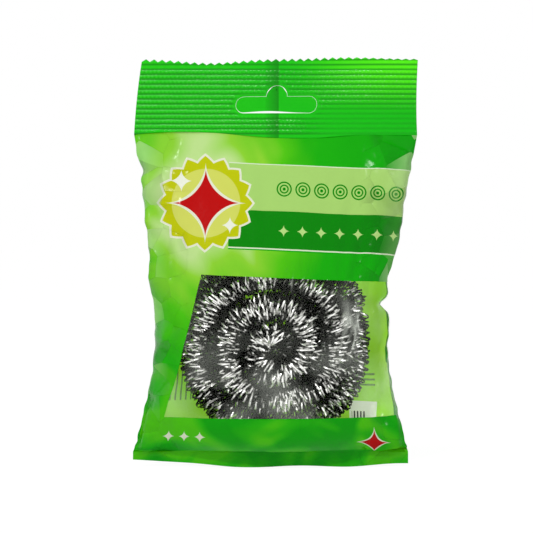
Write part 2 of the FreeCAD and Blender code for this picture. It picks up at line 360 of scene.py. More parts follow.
def pad_envelope():
    """A soft-edged lens round the pad, lengthened upwards by its travel: points and faces."""
    radius = (coil_high.x - coil_low.x) / 2 + ENVELOPE_ROOM
    middle_z = (coil_low.z + coil_high.z) / 2
    face_y = PAD_DEPTH + ENVELOPE_ROOM
    profile = []
    for step in range(1, 2 * ENVELOPE_STEPS):
        angle = math.pi / 2 * (1 - step / ENVELOPE_STEPS)
        rho = radius * math.cos(angle) ** (2 / ENVELOPE_POWER)
        y = face_y * math.copysign(abs(math.sin(angle)) ** (2 / ENVELOPE_POWER), math.sin(angle))
        profile.append((rho, y))
    points = []
    faces = []
    for spoke in range(ENVELOPE_SPOKES):
        angle = 2 * math.pi * (spoke + 0.5) / ENVELOPE_SPOKES
        lift = TRAVEL if math.sin(angle) > 0 else 0
        for rho, y in profile:
            points.append((rho * math.cos(angle), y, middle_z + lift + rho * math.sin(angle)))
    count = len(profile)
    for spoke in range(ENVELOPE_SPOKES):
        here = spoke * count
        after = (spoke + 1) % ENVELOPE_SPOKES * count
        for index in range(count - 1):
            faces.append((here + index, after + index, after + index + 1, here + index + 1))
    faces.append([spoke * count for spoke in range(ENVELOPE_SPOKES)][::-1])
    faces.append([spoke * count + count - 1 for spoke in range(ENVELOPE_SPOKES)])
    return points, faces


envelope_points, envelope_faces = pad_envelope()
print("pad's envelope:", len(envelope_faces), "faces")

# %% Simulation
SIM_SCALE = 20.0
SIM_FRAMES = 40


def fill_bag():
    """Both walls after the simulation: two arrays of points, by row and column."""
    inner = back_start[:, 1:-1]
    points = np.concatenate([front_start.reshape(-1, 3), inner.reshape(-1, 3)]) * SIM_SCALE
    flat_grid = np.stack([flat_u, np.zeros_like(flat_u), flat_v], axis=2)
    flat = np.concatenate([flat_grid.reshape(-1, 3), flat_grid[:, 1:-1].reshape(-1, 3)]) * SIM_SCALE
    front_index = np.arange((ROWS + 1) * (COLUMNS + 1)).reshape(ROWS + 1, COLUMNS + 1)
    back_index = front_index.copy()
    back_points = np.arange((ROWS + 1) * (COLUMNS - 1)).reshape(ROWS + 1, COLUMNS - 1)
    back_index[:, 1:-1] = front_index.size + back_points
    faces = []
    for row in range(ROWS):
        for column in range(COLUMNS):
            a, b = front_index[row, column], front_index[row, column + 1]
            c, d = front_index[row + 1, column + 1], front_index[row + 1, column]
            faces.append((a, b, c, d))
            a, b = back_index[row, column], back_index[row, column + 1]
            c, d = back_index[row + 1, column + 1], back_index[row + 1, column]
            faces.append((d, c, b, a))
    mesh = bpy.data.meshes.new("film_cloth")
    mesh.from_pydata(points.tolist(), [], [tuple(int(i) for i in face) for face in faces])
    cloth_object = bpy.data.objects.new("film_cloth", mesh)
    bpy.context.scene.collection.objects.link(cloth_object)
    cloth_object.shape_key_add(name="filled")
    key = cloth_object.shape_key_add(name="flat")
    key.data.foreach_set("co", flat.ravel())
    held = cloth_object.vertex_groups.new(name="seals")
    ends = np.concatenate([front_index[0], back_index[0], front_index[-1], back_index[-1]])
    held.add([int(i) for i in ends], 1.0, "REPLACE")

    envelope_mesh = bpy.data.meshes.new("pad_envelope")
    envelope_mesh.from_pydata((np.array(envelope_points) * SIM_SCALE).tolist(), [], envelope_faces)
    envelope = bpy.data.objects.new("pad_envelope", envelope_mesh)
    bpy.context.scene.collection.objects.link(envelope)
    envelope.modifiers.new("collision", "COLLISION")
    envelope.collision.thickness_outer = 0.005
    envelope.collision.cloth_friction = 1.0

    film = cloth_object.modifiers.new("film", "CLOTH")
    film.settings.quality = 8
    film.settings.mass = 0.2
    film.settings.tension_stiffness = 60
    film.settings.compression_stiffness = 60
    film.settings.shear_stiffness = 30
    film.settings.bending_stiffness = 0.3
    film.settings.air_damping = 4
    film.settings.effector_weights.gravity = 0
    film.settings.use_pressure = True
    film.settings.uniform_pressure_force = 0.06
    film.settings.vertex_group_mass = "seals"
    film.settings.rest_shape_key = key
    film.collision_settings.distance_min = 0.006
    film.collision_settings.collision_quality = 3
    scene = bpy.context.scene
    for number in range(1, SIM_FRAMES + 1):
        scene.frame_set(number)
    settled = cloth_object.evaluated_get(bpy.context.evaluated_depsgraph_get())
    result = np.zeros(len(mesh.vertices) * 3)
    settled.data.vertices.foreach_get("co", result)
    result = result.reshape(-1, 3) / SIM_SCALE
    scene.frame_set(1)
    bpy.data.objects.remove(cloth_object)
    bpy.data.objects.remove(envelope)
    return result[front_index], result[back_index]


front_film, back_film = fill_bag()
print("front reaches", round(front_film[:, :, 1].min() / MM, 1), "mm")
print("back reaches", round(back_film[:, :, 1].max() / MM, 1), "mm")
print("waist", round(front_film[:, 0, 0].max() / MM, 1), round(front_film[:, -1, 0].min() / MM, 1), "mm")

# %% [markdown]
# The simulated grid is coarse, so a smooth curve through its points doubles it each way. A wall then becomes
# a closed sheet: an outer face with the print, an inner face and a rim between them. Print and window share
# the normals of the whole wall, so no line shows where one stops and the other starts.

# %% Sheets of film
FILM = 0.12 * MM
FOLD_REACH = 4.0 * MM


def refined(grid):
    """Twice as many points each way, on smooth curves through the given ones."""
    for axis in (0, 1):
        points = np.moveaxis(grid, axis, 0)
        ghosts = np.concatenate([2 * points[:1] - points[1:2], points, 2 * points[-1:] - points[-2:-1]])
        between = (9 * (points[:-1] + points[1:]) - ghosts[:-3] - ghosts[3:]) / 16
        fine = np.zeros((2 * len(points) - 1, *points.shape[1:]))
        fine[0::2] = points
        fine[1::2] = between
        grid = np.moveaxis(fine, 0, axis)
    return grid


def wall_normals(grid, side):
    """Unit vectors out of a wall, whose front faces -Y (side -1) or +Y (side 1)."""
    normals = np.cross(np.gradient(grid, axis=1), np.gradient(grid, axis=0)) * -side
    return normals / np.linalg.norm(normals, axis=2, keepdims=True)


def touched(cells):
    """Which points of a grid are corners of the marked cells."""
    rows, columns = cells.shape
    points = np.zeros((rows + 1, columns + 1), bool)
    for down in (0, 1):
        for right in (0, 1):
            points[down : rows + down, right : columns + right] |= cells
    return points


def closed_sheet(name, outer, inner, faces, materials, uv, normals, inner_slots):
    """An object made of an outer and an inner layer of the same faces, and a rim that joins them."""
    count = len(outer)
    edges = [(a, b) for face in faces for a, b in zip(face, face[1:] + face[:1])]
    known = set(edges)
    rim = [(b, a, a + count, b + count) for a, b in edges if (b, a) not in known]
    under = [[index + count for index in reversed(face)] for face in faces]
    mesh = bpy.data.meshes.new(name)
    mesh.from_pydata(np.concatenate([outer, inner]).tolist(), [], faces + under + rim)
    for material in materials:
        mesh.materials.append(material)
    slots = [0] * len(faces) + inner_slots + [0] * len(rim)
    mesh.polygons.foreach_set("material_index", slots)
    mesh.polygons.foreach_set("use_smooth", [True] * len(slots))
    loops = np.zeros(len(mesh.loops), int)
    mesh.loops.foreach_get("vertex_index", loops)
    layer = mesh.uv_layers.new(name="film")
    layer.data.foreach_set("uv", np.concatenate([uv, uv])[loops].astype(np.float32).ravel())
    if normals is not None:
        mesh.normals_split_custom_set_from_vertices(np.concatenate([normals, -normals]).tolist())
    piece = bpy.data.objects.new(name, mesh)
    bpy.context.scene.collection.objects.link(piece)
    print(name, len(mesh.polygons), "faces")
    return piece


def film_piece(name, grid, normals, kept, uv, materials, shared_normals=True):
    """A sheet of film over the kept cells of a grid. A second material is for its inner face, up to folds."""
    used = touched(kept)
    number = np.full(used.shape, -1)
    number[used] = np.arange(used.sum())
    cells = np.argwhere(kept)
    corners = ((0, 0), (0, 1), (1, 1), (1, 0))
    quads = np.stack([number[cells[:, 0] + down, cells[:, 1] + right] for down, right in corners], axis=1)
    row, column = cells[0]
    cross = np.cross(grid[row, column + 1] - grid[row, column], grid[row + 1, column] - grid[row, column])
    if np.dot(cross, normals[row, column]) < 0:
        quads = quads[:, ::-1]
    outer = (grid + normals * FILM / 2)[used]
    inner = (grid - normals * FILM / 2)[used]
    own_normals = normals[used] if shared_normals else None
    u = np.abs(uv[cells[:, 0], cells[:, 1], 0])
    v = uv[cells[:, 0], cells[:, 1], 1]
    open_film = (u < np.interp(v, level_v, flat_half) - FOLD_REACH) & (v > FOLD_REACH)
    inner_slots = (open_film * (len(materials) - 1)).tolist()
    return closed_sheet(name, outer, inner, quads.tolist(), materials, uv[used], own_normals, inner_slots)


flat_uv = np.stack([flat_u, flat_v], axis=2)
fine_uv = refined(flat_uv)
fine_front = refined(front_film)
fine_back = refined(back_film)
print("fine grid of a wall:", fine_front.shape[:2], "points")

# %% [markdown]
# The spare film along the creases is crumpled into flat facets with sharp folds between them. Sculpting them
# by hand takes hours, and smooth noise looks like cloth. So each set of folds is a triangle wave across the
# flat film, and several sets that cross at random angles cut it into facets. The folds grow towards the
# sides, leave the creases alone and die out at the seals. A ripple runs along the creases.

# %% Crumpled sides
FRONT_SEED = 5
BACK_SEED = 6
FOLD_SETS = 6
FOLD_SIZES = (10.0 * MM, 22.0 * MM)
FOLD_SLOPE = 0.2
FOLDS_FROM = 0.6
FOLDS_FULL = 0.82
CREASE_FROM = 0.93
FOLD_ENDS = 10.0 * MM
CREASE_RIPPLE = 0.15 * MM
CREASE_POWER = 12
LONG_RIPPLE = 1.5 * MM
SHORT_RIPPLE = 0.9 * MM
SHORT_SHARE = 0.7

# Where and how far the right side is drawn in
DRAWN_Z = -74.0 * MM
DRAWN_REACH = 9.0 * MM
DRAWN_DEPTH = 3.0 * MM
DRAWN_FROM = 22.0 * MM
DRAWN_FULL = 46.0 * MM

# Spare film beyond the right crease above and below the window, and the straight run into the bottom seal
SPARE_FILM = 6.0 * MM
SPARE_RISE = 14.0 * MM
STRAIGHT_FROM = 14.0 * MM

# The wavy line where the header starts, and how far below it the walls follow
WAVE_REACH = 14.0 * MM
WAVE_HEIGHT = 1.3 * MM
WAVE_LENGTH = 14.2 * MM
WAVE_START = -36.0 * MM
LEVEL_FROM = 15.0 * MM
LEVEL_FULL = 45.0 * MM


def smooth_step(low, high, value):
    """0 below the low value, 1 above the high one, and a smooth rise between."""
    t = np.clip((value - low) / (high - low), 0, 1)
    return t * t * (3 - 2 * t)


def base_wave(x):
    """The line where header and walls meet: up on the left, down in the middle, level on the right."""
    wave = WAVE_HEIGHT * np.cos((x - WAVE_START) / WAVE_LENGTH)
    return wave * (1 - smooth_step(LEVEL_FROM, LEVEL_FULL, x))


def crumpled(wall, side, seed):
    """A wall with flat facets and sharp folds near its sides."""
    u = fine_uv[:, :, 0]
    v = fine_uv[:, :, 1]
    chance = np.random.default_rng(seed)
    folds = np.zeros(u.shape)
    for _ in range(FOLD_SETS):
        angle = chance.uniform(0, math.pi)
        size = chance.uniform(*FOLD_SIZES)
        across = (u * math.cos(angle) + v * math.sin(angle)) / size + chance.uniform()
        folds += size * np.abs(across % 1 - 0.5)
    folds = (folds - folds.min()) * FOLD_SLOPE / math.sqrt(FOLD_SETS)
    edge = np.abs(u) / np.interp(v, level_v, flat_half)
    ends = smooth_step(0, FOLD_ENDS, v) * smooth_step(0, FOLD_ENDS, FILM_LENGTH - v)
    share = smooth_step(FOLDS_FROM, FOLDS_FULL, edge) * (1 - smooth_step(CREASE_FROM, 1.0, edge)) * ends
    wall = wall + wall_normals(wall, side) * (folds * share)[:, :, None]
    wave = np.sin(v / LONG_RIPPLE + np.sign(u)) + SHORT_SHARE * np.sin(v / SHORT_RIPPLE + 2 * np.sign(u))
    wall[:, :, 0] += CREASE_RIPPLE * wave * edge**CREASE_POWER * ends
    return wall


# The right side is drawn in beside the top of the window, and the top rows follow the header's wavy base
near_header = smooth_step(FILM_LENGTH - WAVE_REACH, FILM_LENGTH, fine_uv[:, :, 1])
for wall in (fine_front, fine_back):
    wall[:, :, 2] += base_wave(wall[:, :, 0]) * near_header
    drawn = np.exp(-(((wall[:, :, 2] - DRAWN_Z) / DRAWN_REACH) ** 2))
    wall[:, :, 0] -= DRAWN_DEPTH * drawn * smooth_step(DRAWN_FROM, DRAWN_FULL, wall[:, :, 0])
fine_front = crumpled(fine_front, -1, FRONT_SEED)
fine_back = crumpled(fine_back, 1, BACK_SEED)

# The film runs straight into the bottom seal, without a roll that hangs over it
fine_v = fine_uv[:, -1:, 1]
straight_row = np.argmax(fine_v >= STRAIGHT_FROM)
rise = (fine_v[:straight_row] / fine_v[straight_row])[:, :, None]
for wall in (fine_front, fine_back):
    line = wall[:1] + (wall[straight_row] - wall[:1]) * rise
    bent = smooth_step(0, 1, rise)
    wall[:straight_row] = line * (1 - bent) + wall[:straight_row] * bent

# Beside the window the front wall stays within the right crease, with some spare film above and below
spare = smooth_step(0, SPARE_RISE, fine_v - WINDOW_TOP) + smooth_step(0, SPARE_RISE, LOWER_LENGTH - fine_v)
fine_front[:, :, 0] = np.minimum(fine_front[:, :, 0], fine_front[:, -1:, 0] + SPARE_FILM * spare)

# Seen from the front, the back wall never stands out beside the front wall
for outermost, limit in ((np.argmin, np.maximum), (np.argmax, np.minimum)):
    columns = outermost(fine_front[:, :, 0], axis=1)
    outline = fine_front[np.arange(len(columns)), columns]
    outline = outline[np.argsort(outline[:, 2])]
    outline_x = np.interp(fine_back[:, :, 2], outline[:, 2], outline[:, 0])
    fine_back[:, :, 0] = limit(fine_back[:, :, 0], outline_x)
print("sides folded in", FOLD_SETS, "directions")

# %% [markdown]
# ## Finishes of the film
# The bag is reverse-printed polypropylene film: a smooth, glossy plastic, with the ink behind it. Bright
# green ink runs from lime on the left to a deeper green on the right, and part of the lime on the left is
# painted light that stands in for daylight through the thin film. The inner face shows the ink's pale lime
# back. The window is the same film without ink. Creases finer than the mesh are a bump in the finish:
# shallow dents everywhere, and near the sides flat facets that each catch the light in their own way.

# %% Printed film
FILM_ROUGHNESS = 0.17
FILM_SPECULAR = 0.1
CREASE_SIZE = 6.0 * MM
CREASE_DEPTH = 0.25 * MM
FACET_SIZE = 9.0 * MM
FACET_SLOPE = 1.0
# Paler facets near the creases: partly whitened film, partly painted sheen
FACET_WHITENING_AND_SHEEN = 0.6
WHITENING_AND_SHEEN_COLOUR = "#C4EBA4"
WHITENING_AND_SHEEN_CHANCE = (0.4, 0.9)
WHITENING_AND_SHEEN_FROM = 43.0 * MM
WHITENING_AND_SHEEN_FULL = 52.0 * MM
FACETS_FROM = 34.0 * MM
FACETS_FULL = 42.0 * MM


def facet_cells(tree, coordinates):
    """Random cells of the flat film, and a share that grows from 0 to 1 towards its sides."""
    cells = add_node(
        tree,
        "ShaderNodeTexVoronoi",
        {"Vector": coordinates, "Scale": 1 / FACET_SIZE},
        voronoi_dimensions="2D",
    )
    place = add_node(tree, "ShaderNodeSeparateXYZ", {0: coordinates})
    from_middle = add_node(tree, "ShaderNodeMath", {0: place.outputs["X"]}, operation="ABSOLUTE")
    share = add_node(
        tree,
        "ShaderNodeMapRange",
        {0: from_middle.outputs[0], 1: FACETS_FROM, 2: FACETS_FULL},
        interpolation_type="SMOOTHSTEP",
    )
    return cells, share.outputs[0]


def film_bump(tree, coordinates, facets=True):
    """A bump node: shallow dents everywhere, and flat facets that each tilt their own way near the sides."""
    noise = add_node(
        tree, "ShaderNodeTexNoise", {"Vector": coordinates, "Scale": 1 / CREASE_SIZE, "Detail": 2.0}
    )
    height = add_node(
        tree, "ShaderNodeMath", {0: noise.outputs["Fac"], 1: CREASE_DEPTH}, operation="MULTIPLY"
    )
    if facets:
        cells, share = facet_cells(tree, coordinates)
        offset = add_node(
            tree, "ShaderNodeVectorMath", {0: coordinates, 1: cells.outputs["Position"]}, operation="SUBTRACT"
        )
        half = 0.5 * FACET_SLOPE
        tilt = add_node(
            tree,
            "ShaderNodeVectorMath",
            {0: cells.outputs["Color"], 1: [FACET_SLOPE] * 3, 2: [-half] * 3},
            operation="MULTIPLY_ADD",
        )
        facet = add_node(
            tree, "ShaderNodeVectorMath", {0: offset.outputs[0], 1: tilt.outputs[0]}, operation="DOT_PRODUCT"
        )
        height = add_node(
            tree,
            "ShaderNodeMath",
            {0: facet.outputs["Value"], 1: share, 2: height.outputs[0]},
            operation="MULTIPLY_ADD",
        )
    return add_node(tree, "ShaderNodeBump", {"Height": height.outputs[0], "Distance": 1.0})


def whitening_and_sheen_facets(tree, coordinates, ground):
    """The ground colour, paler on some facets close to the creases: partly whitened film, partly painted
    sheen.
    """
    cells = facet_cells(tree, coordinates)[0]
    place = add_node(tree, "ShaderNodeSeparateXYZ", {0: coordinates})
    aside = add_node(tree, "ShaderNodeMath", {0: place.outputs["X"]}, operation="ABSOLUTE")
    aside = add_node(
        tree, "ShaderNodeMapRange", {0: aside.outputs[0], 1: WHITENING_AND_SHEEN_FROM, 2: WHITENING_AND_SHEEN_FULL, 4: FACET_WHITENING_AND_SHEEN}
    )
    above = add_node(
        tree, "ShaderNodeMapRange", {0: place.outputs["Y"], 1: LOWER_LENGTH, 2: 2 * LOWER_LENGTH}
    )
    chance = add_node(tree, "ShaderNodeSeparateColor", {0: cells.outputs["Color"]})
    whitening_and_sheen = add_node(
        tree, "ShaderNodeMapRange", {0: chance.outputs["Blue"], 1: WHITENING_AND_SHEEN_CHANCE[0], 2: WHITENING_AND_SHEEN_CHANCE[1]}
    )
    for share in (aside, above):
        whitening_and_sheen = add_node(
            tree, "ShaderNodeMath", {0: whitening_and_sheen.outputs[0], 1: share.outputs[0]}, operation="MULTIPLY"
        )
    # Painted sheen, with some whitening of the film, on the chosen facets
    mixed = add_node(
        tree, "ShaderNodeMix", {0: whitening_and_sheen.outputs[0], 6: ground, 7: linear(WHITENING_AND_SHEEN_COLOUR)}, data_type="RGBA"
    )
    return mixed.outputs[2]


def set_ramp(node, steps, interpolation="LINEAR"):
    """Fills a colour ramp with (position, hex colour) steps."""
    ramp = node.color_ramp
    ramp.interpolation = interpolation
    while len(ramp.elements) < len(steps):
        ramp.elements.new(1.0)
    for element, (position, colour) in zip(ramp.elements, steps):
        element.position = position
        element.color = linear(colour)


print("facets", FACET_SIZE / MM, "mm wide, dents", CREASE_SIZE / MM, "mm wide")

# %% [markdown]
# The print itself is drawn by nodes on the film's own flat coordinates, in metres. A pale lime glow on the
# left turns to green: partly print, and partly painted light for daylight through the thin film. A pale and a
# dark band lean down to the right, with rows of coil rings and of sparkles.
# A yellow starburst with a red sparkle sits on the glow. A picture file would do it too, but nodes stay sharp
# at any size: each motif is a distance that is compared with a size.

# %% Sparkle
STAR_POWER = 0.6
PALE_INK = "#E6EAD2"


def sparkle(tree, flat_place, u, v):
    """A measure that grows away from a spot and whose level lines are four-pointed stars."""
    near = add_node(tree, "ShaderNodeVectorMath", {0: flat_place, 1: (u, v, 0)}, operation="SUBTRACT")
    near = add_node(tree, "ShaderNodeVectorMath", {0: near.outputs[0]}, operation="ABSOLUTE")
    near = add_node(tree, "ShaderNodeSeparateXYZ", {0: near.outputs[0]})
    across = add_node(tree, "ShaderNodeMath", {0: near.outputs["X"], 1: STAR_POWER}, operation="POWER")
    along = add_node(tree, "ShaderNodeMath", {0: near.outputs["Y"], 1: STAR_POWER}, operation="POWER")
    star = add_node(tree, "ShaderNodeMath", {0: across.outputs[0], 1: along.outputs[0]}, operation="ADD")
    return star.outputs[0]


def inked_over(tree, ground, measure, size, colour):
    """The ground colour with a colour over it where a measure is less than a size."""
    inside = add_node(tree, "ShaderNodeMath", {0: measure, 1: size}, operation="LESS_THAN")
    mixed = add_node(
        tree, "ShaderNodeMix", {0: inside.outputs[0], 6: ground, 7: linear(colour)}, data_type="RGBA"
    )
    return mixed.outputs[2]


print("power of a sparkle's level lines:", STAR_POWER)

# %% Green grounds of the front
# The lime glow round the starburst is partly print and partly painted light, for daylight through the thin
# film
GLOW_U = -28.0 * MM
GLOW_V = 110.0 * MM
GLOW_REACH = 80.0 * MM
GLOW_STRETCH = 0.75
GLOW_STEPS = (
    (0.2, "#BFE28F"),
    (0.29, "#8ED433"),
    (0.43, "#50C60C"),
    (0.62, "#14B002"),
    (1.0, "#06A502"),
)
CLOUD_SIZE = 30.0 * MM
CLOUD_DRIFT = 0.06
SWIRL_STEPS = ((0.0, "#08A402"), (0.5, "#28B604"), (1.0, "#4CC408"))

# Printed polypropylene: even, bright ink under a smooth clear skin
front_print, tree, output = new_material("printed_polypropylene_front")
flat = add_node(tree, "ShaderNodeUVMap", uv_map="film")
place = add_node(tree, "ShaderNodeSeparateXYZ", {0: flat.outputs["UV"]})
glow_place = add_node(
    tree,
    "ShaderNodeMapping",
    {
        "Vector": flat.outputs["UV"],
        "Location": (-GLOW_U, -GLOW_STRETCH * GLOW_V, 0),
        "Scale": (1, GLOW_STRETCH, 1),
    },
)
glow_distance = add_node(tree, "ShaderNodeVectorMath", {0: glow_place.outputs[0]}, operation="LENGTH")
cloud = add_node(
    tree,
    "ShaderNodeTexNoise",
    {"Vector": flat.outputs["UV"], "Scale": 1 / CLOUD_SIZE, "Detail": 1.0, "Distortion": 1.5},
)
drift = add_node(
    tree, "ShaderNodeMapRange", {0: cloud.outputs["Fac"], 1: 0.3, 2: 0.7, 3: -CLOUD_DRIFT, 4: CLOUD_DRIFT}
)
away = add_node(
    tree,
    "ShaderNodeMath",
    {0: glow_distance.outputs["Value"], 1: 1 / GLOW_REACH, 2: drift.outputs[0]},
    operation="MULTIPLY_ADD",
)
greens = add_node(tree, "ShaderNodeValToRGB", {0: away.outputs[0]})
set_ramp(greens, GLOW_STEPS)

# Below the window the ground is green with lighter, lime swirls
swirl = add_node(tree, "ShaderNodeMapRange", {0: cloud.outputs["Fac"], 1: 0.42, 2: 0.58})
swirls = add_node(tree, "ShaderNodeValToRGB", {0: swirl.outputs[0]})
set_ramp(swirls, SWIRL_STEPS)
low_down = add_node(
    tree, "ShaderNodeMapRange", {0: place.outputs["Y"], 1: WINDOW_TOP, 2: LOWER_LENGTH, 3: 0.0, 4: 1.0}
)
ground = add_node(
    tree,
    "ShaderNodeMix",
    {0: low_down.outputs[0], 6: greens.outputs["Color"], 7: swirls.outputs["Color"]},
    data_type="RGBA",
)
print("green grounds:", len(tree.nodes), "nodes")

# %% Bands with rows of rings and sparkles
PALE_BAND = (106.3 * MM, 125.3 * MM)
DARK_BAND = (91.3 * MM, 106.3 * MM)
HAIRLINE = 0.7 * MM
BAND_LEFT = -18.5 * MM
BAND_LEAN = 0.045
RING_PITCH = 7.6 * MM
RING_RADIUS = 3.1 * MM
RING_STEPS = (
    (0.0, "#018A00"),
    (0.17, "#A9D670"),
    (0.34, "#018A00"),
    (0.5, "#A9D670"),
    (0.67, "#018A00"),
)
ROWS_LEFT = 0.0
STAR_SIZE = 2.4 * MM

lean = add_node(
    tree,
    "ShaderNodeMath",
    {0: place.outputs["X"], 1: BAND_LEAN, 2: place.outputs["Y"]},
    operation="MULTIPLY_ADD",
)
level = add_node(tree, "ShaderNodeMath", {0: lean.outputs[0], 1: FILM_LENGTH}, operation="DIVIDE")
bands = add_node(tree, "ShaderNodeValToRGB", {0: level.outputs[0]})
set_ramp(
    bands,
    (
        (0.0, "#04A601"),
        ((DARK_BAND[0] - HAIRLINE) / FILM_LENGTH, "#DCEBCB"),
        (DARK_BAND[0] / FILM_LENGTH, "#018600"),
        (PALE_BAND[0] / FILM_LENGTH, "#A9D670"),
        (PALE_BAND[1] / FILM_LENGTH, "#DCEBCB"),
        ((PALE_BAND[1] + HAIRLINE) / FILM_LENGTH, "#04A601"),
    ),
    "CONSTANT",
)

# Rings of a small wound coil in the pale band: the distance from the middle of each cell picks the colour
cell = add_node(tree, "ShaderNodeMath", {0: place.outputs["X"], 1: RING_PITCH}, operation="FLOORED_MODULO")
cell = add_node(tree, "ShaderNodeMath", {0: cell.outputs[0], 1: RING_PITCH / 2}, operation="SUBTRACT")
rise = add_node(tree, "ShaderNodeMath", {0: lean.outputs[0], 1: sum(PALE_BAND) / 2}, operation="SUBTRACT")
in_cell = add_node(tree, "ShaderNodeCombineXYZ", {"X": cell.outputs[0], "Y": rise.outputs[0]})
from_middle = add_node(tree, "ShaderNodeVectorMath", {0: in_cell.outputs[0]}, operation="LENGTH")
ring_share = add_node(
    tree, "ShaderNodeMath", {0: from_middle.outputs["Value"], 1: 1.2 * RING_RADIUS}, operation="DIVIDE"
)
rings = add_node(tree, "ShaderNodeValToRGB", {0: ring_share.outputs[0]})
set_ramp(rings, RING_STEPS, "CONSTANT")
in_ring = add_node(
    tree, "ShaderNodeMath", {0: from_middle.outputs["Value"], 1: RING_RADIUS}, operation="LESS_THAN"
)
past_left = add_node(
    tree, "ShaderNodeMath", {0: place.outputs["X"], 1: ROWS_LEFT}, operation="GREATER_THAN"
)
in_ring = add_node(
    tree, "ShaderNodeMath", {0: in_ring.outputs[0], 1: past_left.outputs[0]}, operation="MULTIPLY"
)
inked = add_node(
    tree,
    "ShaderNodeMix",
    {0: in_ring.outputs[0], 6: bands.outputs["Color"], 7: rings.outputs["Color"]},
    data_type="RGBA",
)

# Sparkles in the dark band, one in each cell
fall = add_node(tree, "ShaderNodeMath", {0: lean.outputs[0], 1: sum(DARK_BAND) / 2}, operation="SUBTRACT")
in_cell = add_node(tree, "ShaderNodeCombineXYZ", {"X": cell.outputs[0], "Y": fall.outputs[0]})
star = sparkle(tree, in_cell.outputs[0], 0, 0)
star_edge = add_node(
    tree, "ShaderNodeMath", {0: past_left.outputs[0], 1: STAR_SIZE**STAR_POWER}, operation="MULTIPLY"
)
decorated = inked_over(tree, inked.outputs[2], star, star_edge.outputs[0], "#B9DF83")

# The bands lie between two leaning lines, to the right of the starburst
above = add_node(
    tree, "ShaderNodeMath", {0: lean.outputs[0], 1: DARK_BAND[0] - HAIRLINE}, operation="GREATER_THAN"
)
below = add_node(
    tree, "ShaderNodeMath", {0: lean.outputs[0], 1: PALE_BAND[1] + HAIRLINE}, operation="LESS_THAN"
)
right = add_node(tree, "ShaderNodeMath", {0: place.outputs["X"], 1: BAND_LEFT}, operation="GREATER_THAN")
in_band = add_node(tree, "ShaderNodeMath", {0: above.outputs[0], 1: below.outputs[0]}, operation="MULTIPLY")
in_band = add_node(tree, "ShaderNodeMath", {0: in_band.outputs[0], 1: right.outputs[0]}, operation="MULTIPLY")
banded = add_node(
    tree, "ShaderNodeMix", {0: in_band.outputs[0], 6: ground.outputs[2], 7: decorated}, data_type="RGBA"
)
print("with bands and rows:", len(tree.nodes), "nodes")

# %% Starburst and red sparkles
BURST_RADIUS = 19.0 * MM
BURST_POINTS = 16
BURST_DEPTH = 2.6 * MM
BURST_RIM = 1.0 * MM
BURST_BORDER = 5.0 * MM

# Place along and up the film, size, width of the pale rim, and colour of each sparkle
SPARKLES = (
    (GLOW_U, GLOW_V, 14.0 * MM, 2.5 * MM, "#BE0404"),
    (GLOW_U - 10 * MM, GLOW_V + 9 * MM, 4.5 * MM, 0, "#EEF2E0"),
    (GLOW_U + 10 * MM, GLOW_V - 9 * MM, 3.5 * MM, 0, "#EEF2E0"),
    (41.0 * MM, 14.5 * MM, 6.0 * MM, 1.2 * MM, "#BE0404"),
    (-41.0 * MM, 17.5 * MM, 2.4 * MM, 0, PALE_INK),
    (-34.5 * MM, 17.5 * MM, 2.4 * MM, 0, PALE_INK),
    (-28.0 * MM, 17.5 * MM, 2.4 * MM, 0, PALE_INK),
)

# The starburst's edge is a zig-zag round its middle: how far a spot lies outside it
round_middle = add_node(
    tree, "ShaderNodeVectorMath", {0: flat.outputs["UV"], 1: (GLOW_U, GLOW_V, 0)}, operation="SUBTRACT"
)
radius = add_node(tree, "ShaderNodeVectorMath", {0: round_middle.outputs[0]}, operation="LENGTH")
round_middle = add_node(tree, "ShaderNodeSeparateXYZ", {0: round_middle.outputs[0]})
turn = add_node(
    tree, "ShaderNodeMath", {0: round_middle.outputs["Y"], 1: round_middle.outputs["X"]}, operation="ARCTAN2"
)
turn = add_node(
    tree, "ShaderNodeMath", {0: turn.outputs[0], 1: BURST_POINTS / (2 * math.pi)}, operation="MULTIPLY"
)
tooth = add_node(tree, "ShaderNodeMath", {0: turn.outputs[0], 1: 0.5}, operation="PINGPONG")
outside = add_node(
    tree,
    "ShaderNodeMath",
    {0: tooth.outputs[0], 1: 2 * BURST_DEPTH, 2: radius.outputs["Value"]},
    operation="MULTIPLY_ADD",
).outputs[0]
art = inked_over(tree, banded.outputs[2], outside, BURST_RADIUS + BURST_RIM, PALE_INK)
art = inked_over(tree, art, outside, BURST_RADIUS, "#C0C804")
art = inked_over(tree, art, radius.outputs["Value"], BURST_RADIUS - BURST_BORDER, "#D3DA62")
for u, v, size, rim, colour in SPARKLES:
    star = sparkle(tree, flat.outputs["UV"], u, v)
    art = inked_over(tree, art, star, (size + rim) ** STAR_POWER, PALE_INK)
    art = inked_over(tree, art, star, size**STAR_POWER, colour)
art = whitening_and_sheen_facets(tree, flat.outputs["UV"], art)
shader = add_node(
    tree,
    "ShaderNodeBsdfPrincipled",
    {
        "Base Color": art,
        "Roughness": FILM_ROUGHNESS,
        "Specular IOR Level": FILM_SPECULAR,
        "Normal": film_bump(tree, flat.outputs["UV"]).outputs[0],
    },
)
tree.links.new(shader.outputs[0], output.inputs["Surface"])
print("front print:", len(tree.nodes), "nodes")

# %% [markdown]
# The back wall carries a plain white label with bars and two blocks of dull green rules, which show through
# the window. Ink shows on both faces of thin film, so the back's outer and inner finish share these nodes.

